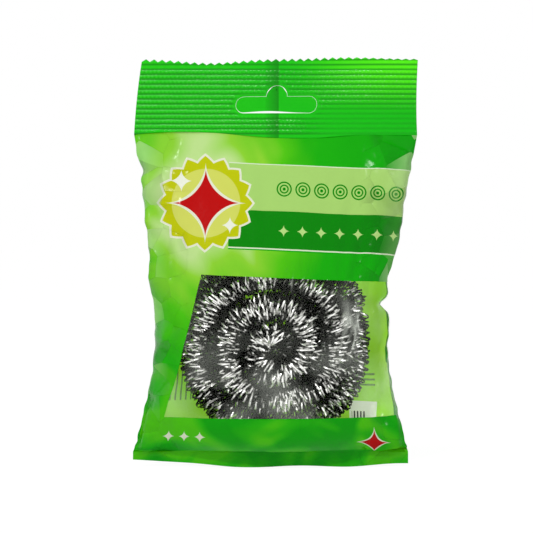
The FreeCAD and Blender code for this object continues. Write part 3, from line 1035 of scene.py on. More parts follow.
# %% Label and rules
LABEL_U = (32.0 * MM, 43.5 * MM)
LABEL_V = (14.0 * MM, 29.5 * MM)
BARS_U = (33.0 * MM, 39.0 * MM)
BARS_V = (15.0 * MM, 25.5 * MM)
LEFT_RULES_U = (-44.5 * MM, -33.0 * MM)
LEFT_RULES_V = (30.0 * MM, 52.0 * MM)
RIGHT_RULES_U = (34.0 * MM, 43.0 * MM)
RIGHT_RULES_V = (34.5 * MM, 42.0 * MM)
BAR_PITCH = 1.3 * MM
RULE_PITCH = 2.1 * MM
LABEL_WHITE = "#E8ECDF"
BAR_BLACK = "#30352E"
RULE_GREEN = "#5E8C3A"


def inside_box(tree, place, u_limits, v_limits):
    """1 inside a rectangle of the flat film, and 0 outside it."""
    share = None
    for axis, (low, high) in (("X", u_limits), ("Y", v_limits)):
        above = add_node(tree, "ShaderNodeMath", {0: place.outputs[axis], 1: low}, operation="GREATER_THAN")
        below = add_node(tree, "ShaderNodeMath", {0: place.outputs[axis], 1: high}, operation="LESS_THAN")
        both = add_node(
            tree, "ShaderNodeMath", {0: above.outputs[0], 1: below.outputs[0]}, operation="MULTIPLY"
        )
        if share is not None:
            both = add_node(
                tree, "ShaderNodeMath", {0: both.outputs[0], 1: share.outputs[0]}, operation="MULTIPLY"
            )
        share = both
    return share.outputs[0]


def on_lines(tree, place, axis, pitch, width):
    """1 on lines that repeat along an axis of the flat film, and 0 between them."""
    cell = add_node(
        tree, "ShaderNodeMath", {0: place.outputs[axis], 1: pitch}, operation="FLOORED_MODULO"
    )
    line = add_node(tree, "ShaderNodeMath", {0: cell.outputs[0], 1: width}, operation="LESS_THAN")
    return line.outputs[0]


def label_and_rules(tree, place, ground):
    """The ground colour with the label, its bars and the rules over it."""
    bars = on_lines(tree, place, "X", BAR_PITCH, 0.55 * BAR_PITCH)
    upright_rules = on_lines(tree, place, "X", RULE_PITCH, 0.3 * RULE_PITCH)
    level_rules = on_lines(tree, place, "Y", RULE_PITCH, 0.35 * RULE_PITCH)
    for u_limits, v_limits, lines, colour in (
        (LABEL_U, LABEL_V, 1.0, LABEL_WHITE),
        (BARS_U, BARS_V, bars, BAR_BLACK),
        (LEFT_RULES_U, LEFT_RULES_V, upright_rules, RULE_GREEN),
        (RIGHT_RULES_U, RIGHT_RULES_V, level_rules, RULE_GREEN),
    ):
        block = inside_box(tree, place, u_limits, v_limits)
        share = add_node(tree, "ShaderNodeMath", {0: block, 1: lines}, operation="MULTIPLY")
        mixed = add_node(
            tree, "ShaderNodeMix", {0: share.outputs[0], 6: ground, 7: linear(colour)}, data_type="RGBA"
        )
        ground = mixed.outputs[2]
    return ground


print("label", round((LABEL_U[1] - LABEL_U[0]) / MM, 1), "mm wide")

# %% Back print and inside
INK_DETAIL = 1.5
INSIDE_ROUGHNESS = 0.4
INSIDE_GLOW = 0.35

# Green printed film for the back, a little uneven as thin ink is
back_print, tree, output = new_material("printed_polypropylene_back")
flat = add_node(tree, "ShaderNodeUVMap", uv_map="film")
place = add_node(tree, "ShaderNodeSeparateXYZ", {0: flat.outputs["UV"]})
cloud = add_node(
    tree, "ShaderNodeTexNoise", {"Vector": flat.outputs["UV"], "Scale": 1 / CLOUD_SIZE, "Detail": INK_DETAIL}
)
greens = add_node(tree, "ShaderNodeValToRGB", {0: cloud.outputs["Fac"]})
set_ramp(greens, ((0.3, "#2BB80A"), (0.7, "#0AA802")))
shader = add_node(
    tree,
    "ShaderNodeBsdfPrincipled",
    {
        "Base Color": label_and_rules(tree, place, greens.outputs["Color"]),
        "Roughness": FILM_ROUGHNESS,
        "Specular IOR Level": FILM_SPECULAR,
        "Normal": film_bump(tree, flat.outputs["UV"]).outputs[0],
    },
)
tree.links.new(shader.outputs[0], output.inputs["Surface"])

# Back of the ink, pale lime: thin film lets daylight through, which a faint glow of its own stands in for
film_inside, tree, output = new_material("lime_ink_back_of_film")
flat = add_node(tree, "ShaderNodeUVMap", uv_map="film")
place = add_node(tree, "ShaderNodeSeparateXYZ", {0: flat.outputs["UV"]})
cloud = add_node(
    tree, "ShaderNodeTexNoise", {"Vector": flat.outputs["UV"], "Scale": 1 / CLOUD_SIZE, "Detail": INK_DETAIL}
)
limes = add_node(tree, "ShaderNodeValToRGB", {0: cloud.outputs["Fac"]})
set_ramp(limes, ((0.3, "#94DC1E"), (0.7, "#A9E04A")))
inner_ink = label_and_rules(tree, place, limes.outputs["Color"])
shader = add_node(
    tree,
    "ShaderNodeBsdfPrincipled",
    {
        "Base Color": inner_ink,
        "Roughness": INSIDE_ROUGHNESS,
        "Specular IOR Level": FILM_SPECULAR,
        "Emission Color": inner_ink,
        "Emission Strength": INSIDE_GLOW,
    },
)
tree.links.new(shader.outputs[0], output.inputs["Surface"])
print("back print and inside:", back_print.name, "and", film_inside.name)

# %% [markdown]
# The window is clear film, 0.05 mm thin in reality. A glass shader would bend light at both faces as a thick
# pane does, and it renders slowly. So most light passes straight through, and a small share meets a
# mirror-like skin: more of it at a slant, and a thin veil of it where the film rubs on the pad.

# %% Window film
VEIL_SIZE = 22.0 * MM
VEIL_SHARE = 0.08
VEIL_LOW = (60.0 * MM, 38.0 * MM)
VEIL_SIDES = (24.0 * MM, 36.0 * MM)
VEIL_AT_TOP = 0.1
VEIL_AT_SIDES = 0.35
SKIN_ROUGHNESS = 0.22
SLANT_POWER = 4.0
GLOSS_FACING = 0.006
GLOSS_EDGE_ON = 0.3

# Clear polypropylene: blown film shines softly, and its creases break the highlights up
clear_film, tree, output = new_material("clear_polypropylene_film")
flat = add_node(tree, "ShaderNodeUVMap", uv_map="film")
clear = add_node(tree, "ShaderNodeBsdfTransparent", {"Color": linear("#FFFFFF")})
skin = add_node(
    tree,
    "ShaderNodeBsdfPrincipled",
    {
        "Base Color": linear("#F4FAEE"),
        "Metallic": 1.0,
        "Roughness": SKIN_ROUGHNESS,
        "Normal": film_bump(tree, flat.outputs["UV"]).outputs[0],
    },
)
slant = add_node(tree, "ShaderNodeLayerWeight", {"Blend": 0.5})
slant = add_node(tree, "ShaderNodeMath", {0: slant.outputs["Facing"], 1: SLANT_POWER}, operation="POWER")
gloss = add_node(tree, "ShaderNodeMapRange", {0: slant.outputs[0], 3: GLOSS_FACING, 4: GLOSS_EDGE_ON})
rubbed = add_node(
    tree, "ShaderNodeTexNoise", {"Vector": flat.outputs["UV"], "Scale": 1 / VEIL_SIZE, "Detail": 1.0}
)
veil = add_node(tree, "ShaderNodeMapRange", {0: rubbed.outputs["Fac"], 1: 0.38, 2: 0.6, 4: VEIL_SHARE})
level = add_node(tree, "ShaderNodeSeparateXYZ", {0: flat.outputs["UV"]})
low_down = add_node(
    tree, "ShaderNodeMapRange", {0: level.outputs["Y"], 1: VEIL_LOW[0], 2: VEIL_LOW[1], 3: VEIL_AT_TOP}
)
aside = add_node(tree, "ShaderNodeMath", {0: level.outputs["X"]}, operation="ABSOLUTE")
aside = add_node(
    tree, "ShaderNodeMapRange", {0: aside.outputs[0], 1: VEIL_SIDES[0], 2: VEIL_SIDES[1], 4: VEIL_AT_SIDES}
)
touching = add_node(
    tree, "ShaderNodeMath", {0: low_down.outputs[0], 1: aside.outputs[0]}, operation="MAXIMUM"
)
veil = add_node(tree, "ShaderNodeMath", {0: veil.outputs[0], 1: touching.outputs[0]}, operation="MULTIPLY")
haze = add_node(tree, "ShaderNodeMath", {0: gloss.outputs[0], 1: veil.outputs[0]}, operation="ADD")
mixed = add_node(
    tree, "ShaderNodeMixShader", {0: haze.outputs[0], 1: clear.outputs[0], 2: skin.outputs[0]}
)
tree.links.new(mixed.outputs[0], output.inputs["Surface"])
print("window film:", len(tree.nodes), "nodes")

# %% [markdown]
# ## Walls, bottom seal and back seam
# Below the pad both walls are welded flat and cut. Wall and seal are one stretch of film. Two separate strips
# would show a hard line between them, so wall and seal share the shading of one long grid, with normals that
# are averaged over the rows where they meet. The cut edge wanders, as film does under a hot knife.

# %% Bottom seal's shape
PLY_Y = 0.1 * MM
SEAL_ROWS = 16
SOFT_ROWS = 14

# The cut edge's rise at each corner, where it starts and is full, and the height and length of its wander
LEFT_RISE = 2.6 * MM
LEFT_RISE_FROM = 15.0 * MM
RIGHT_RISE = 1.0 * MM
RIGHT_RISE_FROM = 25.0 * MM
RISE_FULL = 55.0 * MM
EDGE_WANDER = 0.25 * MM
EDGE_WANDER_LENGTH = 6.0 * MM

# Height, length and start of the waves that the seal bends in, and how far it hangs forward
SEAL_WAVES = ((0.8 * MM, 15.0 * MM, -0.7), (0.3 * MM, 7.0 * MM, 0.0))
SEAL_FORWARD = 1.0 * MM


def waves(x, terms):
    """The sum of sine waves, each with a height, a length and a start."""
    return sum(height * np.sin(x / length + start) for height, length, start in terms)


def bottom_edge(x):
    """The cut edge wanders a little and rises to both corners, to the left one more."""
    left = LEFT_RISE * smooth_step(LEFT_RISE_FROM, RISE_FULL, -x)
    right = RIGHT_RISE * smooth_step(RIGHT_RISE_FROM, RISE_FULL, x)
    return left + right + EDGE_WANDER * np.sin(x / EDGE_WANDER_LENGTH)


def seal_wave(x, drop):
    """The seal bends forward and back towards its free edge, which is at drop 1."""
    return drop * (waves(x, SEAL_WAVES) - SEAL_FORWARD)


def with_seal(wall, side):
    """A wall's grid with the seal's rows below it, and normals that are softened where they meet."""
    drop = np.linspace(1, 0, SEAL_ROWS + 1)[:-1, None]
    x = np.repeat(wall[0, :, 0][None, :], SEAL_ROWS, axis=0)
    lift = bottom_edge(x) - bottom_edge(x).min()
    z = SEAL_TOP + drop * (SEAL_BOTTOM + lift - SEAL_TOP)
    seal = np.stack([x, side * PLY_Y + seal_wave(x, drop), z], axis=2)
    grid = np.concatenate([seal, wall])
    normals = wall_normals(grid, side)
    soft = normals.copy()
    for row in range(max(0, SEAL_ROWS - SOFT_ROWS), SEAL_ROWS + 2 * SOFT_ROWS):
        soft[row] = normals[max(0, row - SOFT_ROWS) : row + SOFT_ROWS + 1].mean(axis=0)
    soft = soft / np.linalg.norm(soft, axis=2, keepdims=True)
    return grid, soft


front_grid, front_normals = with_seal(fine_front, -1)
back_grid, back_normals = with_seal(fine_back, 1)
seal_u = np.repeat(fine_uv[:1, :, 0], SEAL_ROWS, axis=0)
below_uv = np.stack([seal_u, front_grid[:SEAL_ROWS, :, 2] - SEAL_TOP], axis=2)
whole_uv = np.concatenate([below_uv, fine_uv])
cells_shape = (front_grid.shape[0] - 1, front_grid.shape[1] - 1)
in_seal = np.zeros(cells_shape, bool)
in_seal[:SEAL_ROWS] = True
in_window = np.zeros(cells_shape, bool)
first_row = SEAL_ROWS + 2 * LOWER_ROWS
in_window[first_row : first_row + 2 * WINDOW_ROWS, 2 * MARGIN_COLUMNS :] = True
print("wall with seal:", front_grid.shape[:2], "points, window", in_window.sum(), "cells")

# %% Film pieces of the bag
for name, grid, normals, kept, materials, slot, nodes in (
    (
        "front_film",
        front_grid,
        front_normals,
        ~in_window & ~in_seal,
        [front_print, film_inside],
        "printed_film",
        ["front_panel"],
    ),
    (
        "window_film",
        front_grid,
        front_normals,
        in_window,
        [clear_film],
        "clear_film",
        ["window_pane"],
    ),
    (
        "back_film",
        back_grid,
        back_normals,
        ~in_seal,
        [back_print, film_inside],
        "printed_film",
        ["back_panel_left", "back_panel_right"],
    ),
    (
        "bottom_seal_front_film",
        front_grid,
        front_normals,
        in_seal,
        [front_print],
        "printed_film",
        ["bottom_seal_front"],
    ),
    (
        "bottom_seal_back_film",
        back_grid,
        back_normals,
        in_seal,
        [back_print],
        "printed_film",
        ["bottom_seal_back"],
    ),
):
    piece = film_piece(name, grid, normals, kept, whole_uv, materials)
    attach(piece, "pouch")
    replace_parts(piece, *nodes)

# %% [markdown]
# The back seam, where the two edges of the film meet, is a narrow strip that lies folded on the back wall. It
# has to follow every dent of that wall, so its points are read off the wall's own grid and lifted a little.
# Its free edge flutters.

# %% Back seam
SEAM_LIFT = 0.22 * MM
SEAM_COLUMNS = 8
FLUTTER = 0.25 * MM
FLUTTER_ROWS = 7.0
seam_u = np.linspace(fin_low.x, fin_high.x, SEAM_COLUMNS + 1)
seam_grid = np.zeros((len(back_grid), SEAM_COLUMNS + 1, 3))
seam_normals = np.zeros_like(seam_grid)
for row in range(len(back_grid)):
    for axis in range(3):
        seam_grid[row, :, axis] = np.interp(seam_u, whole_uv[row, :, 0], back_grid[row, :, axis])
        seam_normals[row, :, axis] = np.interp(seam_u, whole_uv[row, :, 0], back_normals[row, :, axis])
free_edge = np.linspace(0, 1, SEAM_COLUMNS + 1)[None, :, None]
flutter = FLUTTER * (1 + np.sin(np.arange(len(back_grid)) / FLUTTER_ROWS))[:, None, None] * free_edge**2
seam_grid = seam_grid + seam_normals * (SEAM_LIFT + flutter)
seam_rows_u = np.repeat(seam_u[None, :], len(back_grid), axis=0)
seam_uv = np.stack([seam_rows_u, whole_uv[:, : SEAM_COLUMNS + 1, 1]], axis=2)
kept = np.ones((len(back_grid) - 1, SEAM_COLUMNS), bool)
seam = film_piece("back_seam_film", seam_grid, wall_normals(seam_grid, 1), kept, seam_uv, [back_print])
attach(seam, "pouch")
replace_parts(seam, "back_fin")

# %% [markdown]
# ## The header: crimped, zig-zag cut and punched
# Two hot jaws press both plies of the header together and leave level ribs, which are broken up by a fine
# knurl. A toothed knife cuts the top edge. A die punches the hang slot, and its tab stays in place, hung at
# the bump. A boolean cut would leave ragged triangles round the slot, so the flat sheet is a grid with a
# tooth in every eight columns, and the points round the slot are pulled onto its outline.

# %% Hang slot
SLOT_HALF = 16.0 * MM
SLOT_HEIGHT = 6.5 * MM
BUMP_RADIUS = 4.15 * MM
PULL_ROUNDS = 4
PULL_STEP = 0.01 * MM
SLOT_MIDDLE = -BUMP_RADIUS - SLOT_HEIGHT / 2


def slot_distance(x, z):
    """How far a point lies outside the slot, a round-ended bar with a round bump on top."""
    reach = SLOT_HALF - SLOT_HEIGHT / 2
    bar = np.hypot(np.maximum(np.abs(x) - reach, 0), z - SLOT_MIDDLE) - SLOT_HEIGHT / 2
    bump = np.hypot(x, z + BUMP_RADIUS) - BUMP_RADIUS
    return np.minimum(bar, bump)


def pulled_to_slot(x, z, moving, level):
    """Moves the marked points along the distance's slope, to where it has the given level."""
    for _ in range(PULL_ROUNDS):
        here = slot_distance(x, z)
        slope_x = (slot_distance(x + PULL_STEP, z) - slot_distance(x - PULL_STEP, z)) / (2 * PULL_STEP)
        slope_z = (slot_distance(x, z + PULL_STEP) - slot_distance(x, z - PULL_STEP)) / (2 * PULL_STEP)
        x = np.where(moving, x - (here - level) * slope_x, x)
        z = np.where(moving, z - (here - level) * slope_z, z)
    return x, z


print("slot", 2 * SLOT_HALF / MM, "mm wide, middle at", round(SLOT_MIDDLE / MM, 2), "mm")

# %% Flat header sheet
TEETH = 34
TOOTH_DEPTH = 1.0 * MM
TOOTH_COLUMNS = 8
HEADER_LEAN = 1.5 * MM
HEADER_ROWS = 118
EDGE_ROWS = 3
SHOULDER_TEETH = 1.6
WORN_TEETH = 0.5
WORN_FROM = 0.2
WORN_FULL = 0.8

# Height, length and start of the waves that the header bends in
HEADER_WAVES = ((0.9 * MM, 13.0 * MM, 0.6), (0.5 * MM, 6.5 * MM, -1.0))
HEADER_WAVE_POWER = 1.5
EDGE_LIFT = 0.7 * MM
EDGE_SHIFT = 1.7 * MM

# Height, place and reach of the free edge's dip and peak
EDGE_DIP = (-1.5 * MM, -28.0 * MM, 15.0 * MM)
EDGE_PEAK = (0.8 * MM, 25.0 * MM, 16.0 * MM)

# Ribs stop short of the slot, and are pressed less deep at the lower right
RIBS_FROM_SLOT = 2.2 * MM
WEAK_X = (5.0 * MM, 25.0 * MM)
WEAK_Z = (-4.0 * MM, -12.0 * MM)
WEAK_LOSS = 0.7


def header_rise(z):
    """0 at the header's base and 1 at its free edge."""
    return np.clip((z - HEADER_BASE) / (HEADER_TOP - HEADER_BASE), 0, 1)


def header_wave(x, z):
    """How far the header bends back (+) or forward (-) at a point: more towards its free edge."""
    return header_rise(z) ** HEADER_WAVE_POWER * waves(x, HEADER_WAVES)


def edge_sag(x, z):
    """The free edge dips on the left and stands up on the right of the middle."""
    humps = [height * np.exp(-(((x - place) / reach) ** 2)) for height, place, reach in (EDGE_DIP, EDGE_PEAK)]
    return header_rise(z) ** 2 * (EDGE_LIFT + humps[0] + humps[1])


def edge_drift(z):
    """The header hangs a little askew, its free edge to the right."""
    return EDGE_SHIFT * header_rise(z) ** 2


def rib_share(x, z):
    """How deep the ribs are pressed: not at all round the slot, less at the lower right."""
    at_slot = smooth_step(0, RIBS_FROM_SLOT, slot_distance(x, z))
    weak = smooth_step(*WEAK_X, x) * smooth_step(*WEAK_Z, z)
    return at_slot * (1 - WEAK_LOSS * weak)


def header_grid(y, left=-1.0, right=1.0):
    """A header sheet at depth y, between two shares of its width: points, kept cells and rib share."""
    columns = np.linspace(-1, 1, TEETH * TOOTH_COLUMNS + 1)
    columns = columns[(columns >= left - 1e-9) & (columns <= right + 1e-9)]
    knife = np.abs((columns + 1) / 2 * TEETH % 1 * 2 - 1)
    shoulder = HEADER_TOP - SHOULDER_TEETH * TOOTH_DEPTH
    level = np.linspace(HEADER_BASE, shoulder, HEADER_ROWS - EDGE_ROWS)
    z = np.repeat(level[:, None], len(columns), axis=1)
    edge = HEADER_TOP - TOOTH_DEPTH * (knife * (1 - WORN_TEETH * smooth_step(WORN_FROM, WORN_FULL, columns)))
    for step in range(1, EDGE_ROWS + 1):
        z = np.concatenate([z, [shoulder + (edge - shoulder) * step / EDGE_ROWS]])
    half = HEADER_HALF - HEADER_LEAN * (z - HEADER_BASE) / (HEADER_TOP - HEADER_BASE)
    x = columns[None, :] * half
    middle_x = (x[:-1, :-1] + x[1:, 1:]) / 2
    middle_z = (z[:-1, :-1] + z[1:, 1:]) / 2
    kept = slot_distance(middle_x, middle_z) > 0
    x, z = pulled_to_slot(x, z, touched(kept) & touched(~kept), 0)
    ribs = rib_share(x, z)
    at_base = base_wave(x) * (1 - smooth_step(HEADER_BASE, HEADER_BASE + 0.6 * WAVE_REACH, z))
    grid = np.stack([x + edge_drift(z), y + header_wave(x, z), z + edge_sag(x, z) + at_base], axis=2)
    return grid, kept, ribs


print("teeth", round(2 * HEADER_HALF / TEETH / MM, 2), "mm wide")

# %% [markdown]
# The ribs repeat by a rule and are the same for both plies and the seam, so Geometry Nodes press them. A
# cosine of the height makes the ribs, and a cosine across breaks them up. The sheet's rib_share says how deep
# each point is pressed. A real jaw leaves ribs of about 0.2 mm: these are higher, so that they show.

# %% Tree that presses the ribs
RIB_PITCH = 1.94 * MM
RIB_HEIGHT = 0.65 * MM
RIB_COUNT = 13
RIBS_START = HEADER_BASE + 0.6 * MM
KNURL_PITCH = 1.6 * MM
KNURL_DEPTH = 0.5


def crimp_tree():
    """Geometry Nodes that push a sheet forward in level, knurled ribs, as deep as its rib_share says."""
    tree = bpy.data.node_groups.new("crimp", "GeometryNodeTree")
    tree.interface.new_socket("Sheet", in_out="INPUT", socket_type="NodeSocketGeometry")
    for name, kind in (
        ("Rib Pitch", "NodeSocketFloat"),
        ("Rib Height", "NodeSocketFloat"),
        ("Knurl Pitch", "NodeSocketFloat"),
        ("Knurl Depth", "NodeSocketFloat"),
        ("Lowest Rib", "NodeSocketFloat"),
        ("Highest Rib", "NodeSocketFloat"),
        ("Material", "NodeSocketMaterial"),
    ):
        tree.interface.new_socket(name, in_out="INPUT", socket_type=kind)
    tree.interface.new_socket("Crimped", in_out="OUTPUT", socket_type="NodeSocketGeometry")
    given = add_node(tree, "NodeGroupInput").outputs
    position = add_node(tree, "GeometryNodeInputPosition")
    spot = add_node(tree, "ShaderNodeSeparateXYZ", {0: position.outputs[0]})
    above = add_node(
        tree, "ShaderNodeMath", {0: spot.outputs["Z"], 1: given["Lowest Rib"]}, operation="SUBTRACT"
    )
    ribs = add_node(tree, "ShaderNodeMath", {0: above.outputs[0], 1: given["Rib Pitch"]}, operation="DIVIDE")
    turn = add_node(tree, "ShaderNodeMath", {0: ribs.outputs[0], 1: 2 * math.pi}, operation="MULTIPLY")
    wave = add_node(tree, "ShaderNodeMath", {0: turn.outputs[0]}, operation="COSINE")
    wave = add_node(tree, "ShaderNodeMath", {0: wave.outputs[0], 1: -0.5, 2: 0.5}, operation="MULTIPLY_ADD")

    # The knurl's dots are set off by half a pitch from one rib to the next
    row = add_node(tree, "ShaderNodeMath", {0: ribs.outputs[0]}, operation="FLOOR")
    dots = add_node(
        tree, "ShaderNodeMath", {0: spot.outputs["X"], 1: given["Knurl Pitch"]}, operation="DIVIDE"
    )
    dots = add_node(
        tree, "ShaderNodeMath", {0: row.outputs[0], 1: 0.5, 2: dots.outputs[0]}, operation="MULTIPLY_ADD"
    )
    dots = add_node(tree, "ShaderNodeMath", {0: dots.outputs[0], 1: 2 * math.pi}, operation="MULTIPLY")
    dots = add_node(tree, "ShaderNodeMath", {0: dots.outputs[0]}, operation="COSINE")
    dots = add_node(tree, "ShaderNodeMath", {0: dots.outputs[0], 1: -0.5, 2: 0.5}, operation="MULTIPLY_ADD")
    dots = add_node(
        tree, "ShaderNodeMath", {0: dots.outputs[0], 1: given["Knurl Depth"]}, operation="MULTIPLY"
    )
    dots = add_node(tree, "ShaderNodeMath", {0: 1.0, 1: dots.outputs[0]}, operation="SUBTRACT")

    # Ribs start above the header's base, stop below its edge and die out where the sheet says so
    inside = add_node(
        tree, "ShaderNodeMath", {0: spot.outputs["Z"], 1: given["Lowest Rib"]}, operation="GREATER_THAN"
    )
    below = add_node(
        tree, "ShaderNodeMath", {0: spot.outputs["Z"], 1: given["Highest Rib"]}, operation="LESS_THAN"
    )
    inside = add_node(
        tree, "ShaderNodeMath", {0: inside.outputs[0], 1: below.outputs[0]}, operation="MULTIPLY"
    )
    fade = add_node(tree, "GeometryNodeInputNamedAttribute", {"Name": "rib_share"}, data_type="FLOAT")
    push = wave
    for factor in (dots, inside, fade):
        push = add_node(
            tree, "ShaderNodeMath", {0: push.outputs[0], 1: factor.outputs[0]}, operation="MULTIPLY"
        )
    push = add_node(
        tree, "ShaderNodeMath", {0: push.outputs[0], 1: given["Rib Height"]}, operation="MULTIPLY"
    )
    forward = add_node(tree, "ShaderNodeMath", {0: push.outputs[0], 1: -1.0}, operation="MULTIPLY")
    offset = add_node(tree, "ShaderNodeCombineXYZ", {"Y": forward.outputs[0]})
    pressed = add_node(
        tree, "GeometryNodeSetPosition", {"Geometry": given["Sheet"], "Offset": offset.outputs[0]}
    )
    plain = add_node(tree, "GeometryNodeRealizeInstances", {0: pressed.outputs[0]})
    dressed = add_node(
        tree, "GeometryNodeSetMaterial", {"Geometry": plain.outputs[0], "Material": given["Material"]}
    )
    add_node(tree, "NodeGroupOutput", {0: dressed.outputs[0]})
    return tree


def grown(source, tree, values, name):
    """The plain mesh object that a tree makes of a source object, which is removed."""
    modifier = source.modifiers.new(tree.name, "NODES")
    modifier.node_group = tree
    for item in tree.interface.items_tree:
        if item.item_type == "SOCKET" and item.in_out == "INPUT" and item.name in values:
            modifier[item.identifier] = values[item.name]
    source.update_tag()
    ready = source.evaluated_get(bpy.context.evaluated_depsgraph_get())
    mesh = bpy.data.meshes.new_from_object(ready)
    bpy.data.objects.remove(source)
    mesh.name = name
    piece = bpy.data.objects.new(name, mesh)
    bpy.context.scene.collection.objects.link(piece)
    print(name, len(mesh.polygons), "faces")
    return piece


crimp = crimp_tree()
print("crimp tree:", len(crimp.nodes), "nodes")

# %% [markdown]
# The header's green is brighter than the bag's, and the hot jaws polish the film. Three things vary it: a
# yellower upper right corner, a strip of painted shade where the seam lies behind, and painted shade in the
# grooves between the ribs. The shaded grooves follow the same rule as the ribs, so that colour and shape
# meet.

# %% Header's finish
HEADER_SPECULAR = 0.18
HEADER_ROUGHNESS = 0.12
HEADER_GREENS = ((0.0, "#1CCE02"), (0.3, "#18D002"), (0.6, "#08C801"), (1.0, "#02C200"))
CORNER_ACROSS = (0.5, 0.95)
CORNER_UP = (-12.0 * MM, 8.0 * MM)
SEAM_SHADE_SHARE = (0.15, 0.95)
GROOVE_SHADE_SHARE = 0.8

# Printed polypropylene that hot jaws have polished: glossier than the bag's
header_print, tree, output = new_material("printed_polypropylene_header")
place = add_node(tree, "ShaderNodeTexCoord")
spot = add_node(tree, "ShaderNodeSeparateXYZ", {0: place.outputs["Object"]})
across = add_node(
    tree, "ShaderNodeMapRange", {0: spot.outputs["X"], 1: -HEADER_HALF, 2: HEADER_HALF, 3: 0.0, 4: 1.0}
)
greens = add_node(tree, "ShaderNodeValToRGB", {0: across.outputs[0]})
set_ramp(greens, HEADER_GREENS)

# Towards the upper right corner the green is brighter and yellower
to_right = add_node(
    tree,
    "ShaderNodeMapRange",
    {0: across.outputs[0], 1: CORNER_ACROSS[0], 2: CORNER_ACROSS[1]},
    interpolation_type="SMOOTHSTEP",
)
to_top = add_node(
    tree,
    "ShaderNodeMapRange",
    {0: spot.outputs["Z"], 1: CORNER_UP[0], 2: CORNER_UP[1]},
    interpolation_type="SMOOTHSTEP",
)
corner = add_node(
    tree, "ShaderNodeMath", {0: to_right.outputs[0], 1: to_top.outputs[0]}, operation="MULTIPLY"
)
greens = add_node(
    tree,
    "ShaderNodeMix",
    {0: corner.outputs[0], 6: greens.outputs["Color"], 7: linear("#55F805")},
    data_type="RGBA",
)

# Painted shade: the seam's plies behind the header block light that comes through the film, so its middle
# strip is painted darker, more and more towards a sharp right edge
seam_shade_ramp = add_node(
    tree,
    "ShaderNodeMapRange",
    {0: spot.outputs["X"], 1: fin_low.x, 2: fin_high.x, 3: SEAM_SHADE_SHARE[0], 4: SEAM_SHADE_SHARE[1]},
)
past_left = add_node(tree, "ShaderNodeMath", {0: spot.outputs["X"], 1: fin_low.x}, operation="GREATER_THAN")
left_of_end = add_node(tree, "ShaderNodeMath", {0: spot.outputs["X"], 1: fin_high.x}, operation="LESS_THAN")
strip = add_node(
    tree, "ShaderNodeMath", {0: past_left.outputs[0], 1: left_of_end.outputs[0]}, operation="MULTIPLY"
)
strip = add_node(tree, "ShaderNodeMath", {0: strip.outputs[0], 1: seam_shade_ramp.outputs[0]}, operation="MULTIPLY")
inked = add_node(
    tree, "ShaderNodeMix", {0: strip.outputs[0], 6: greens.outputs[2], 7: linear("#018E00")}, data_type="RGBA"
)

# Painted shade in the grooves between the ribs, which fades out at the slot
painted_groove_shade = add_node(tree, "ShaderNodeMath", {0: spot.outputs["Z"], 1: RIBS_START}, operation="SUBTRACT")
painted_groove_shade = add_node(
    tree, "ShaderNodeMath", {0: painted_groove_shade.outputs[0], 1: 2 * math.pi / RIB_PITCH}, operation="MULTIPLY"
)
painted_groove_shade = add_node(tree, "ShaderNodeMath", {0: painted_groove_shade.outputs[0]}, operation="COSINE")
ribs = add_node(tree, "ShaderNodeAttribute", attribute_name="rib_share")
painted_groove_shade = add_node(
    tree, "ShaderNodeMath", {0: painted_groove_shade.outputs[0], 1: ribs.outputs["Fac"]}, operation="MULTIPLY"
)
painted_groove_shade = add_node(tree, "ShaderNodeMapRange", {0: painted_groove_shade.outputs[0], 1: -0.2, 4: GROOVE_SHADE_SHARE})
inked = add_node(
    tree, "ShaderNodeMix", {0: painted_groove_shade.outputs[0], 6: inked.outputs[2], 7: linear("#018A00")}, data_type="RGBA"
)
shader = add_node(
    tree,
    "ShaderNodeBsdfPrincipled",
    {
        "Base Color": inked.outputs[2],
        "Roughness": HEADER_ROUGHNESS,
        "Specular IOR Level": HEADER_SPECULAR,
        "Normal": film_bump(tree, place.outputs["Object"], facets=False).outputs[0],
    },
)
tree.links.new(shader.outputs[0], output.inputs["Surface"])
print("header's finish:", len(tree.nodes), "nodes")

# %% Header pieces
crimp_values = {
    "Rib Pitch": RIB_PITCH,
    "Rib Height": RIB_HEIGHT,
    "Knurl Pitch": KNURL_PITCH,
    "Knurl Depth": KNURL_DEPTH,
    "Lowest Rib": RIBS_START,
    "Highest Rib": RIBS_START + RIB_COUNT * RIB_PITCH,
    "Material": header_print,
}


def crimped_piece(name, grid, kept, ribs, side):
    """A pressed film piece from a grid of the header."""
    uv = grid[:, :, [0, 2]]
    flat_piece = film_piece(name + "_flat", grid, wall_normals(grid, side), kept, uv, [header_print], False)
    used = touched(kept)
    depth = flat_piece.data.attributes.new("rib_share", "FLOAT", "POINT")
    depth.data.foreach_set("value", np.concatenate([ribs[used], ribs[used]]).astype(np.float32))
    piece = grown(flat_piece, crimp, crimp_values, name)
    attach(piece, "pouch")
    return piece


for name, y, side in (("header_front", -PLY_Y, -1), ("header_back", PLY_Y, 1)):
    grid, kept, ribs = header_grid(y)
    piece = crimped_piece(name, grid, kept, ribs, side)
    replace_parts(piece, name + "_ply")

# %% Seam in the header
fin_left = fin_low.x / HEADER_HALF
fin_right = fin_high.x / HEADER_HALF
grid, kept, ribs = header_grid(3 * PLY_Y, fin_left, fin_right)
is_above = (grid[:-1, :-1, 2] > SLOT_MIDDLE) & kept
is_below = (grid[:-1, :-1, 2] < SLOT_MIDDLE) & kept
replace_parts(crimped_piece("header_seam_upper", grid, is_above, ribs, 1), "header_fin_upper")
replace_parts(crimped_piece("header_seam_lower", grid, is_below, ribs, 1), "header_fin_lower")

# %% [markdown]
# The punched tab still hangs in its slot at an uncut neck, and a peg bends it forward there. A rigid tab
# would cut through the header as it swings. Here it is a plain sheet at rest, made as the header's, with a
# thin cut round it.

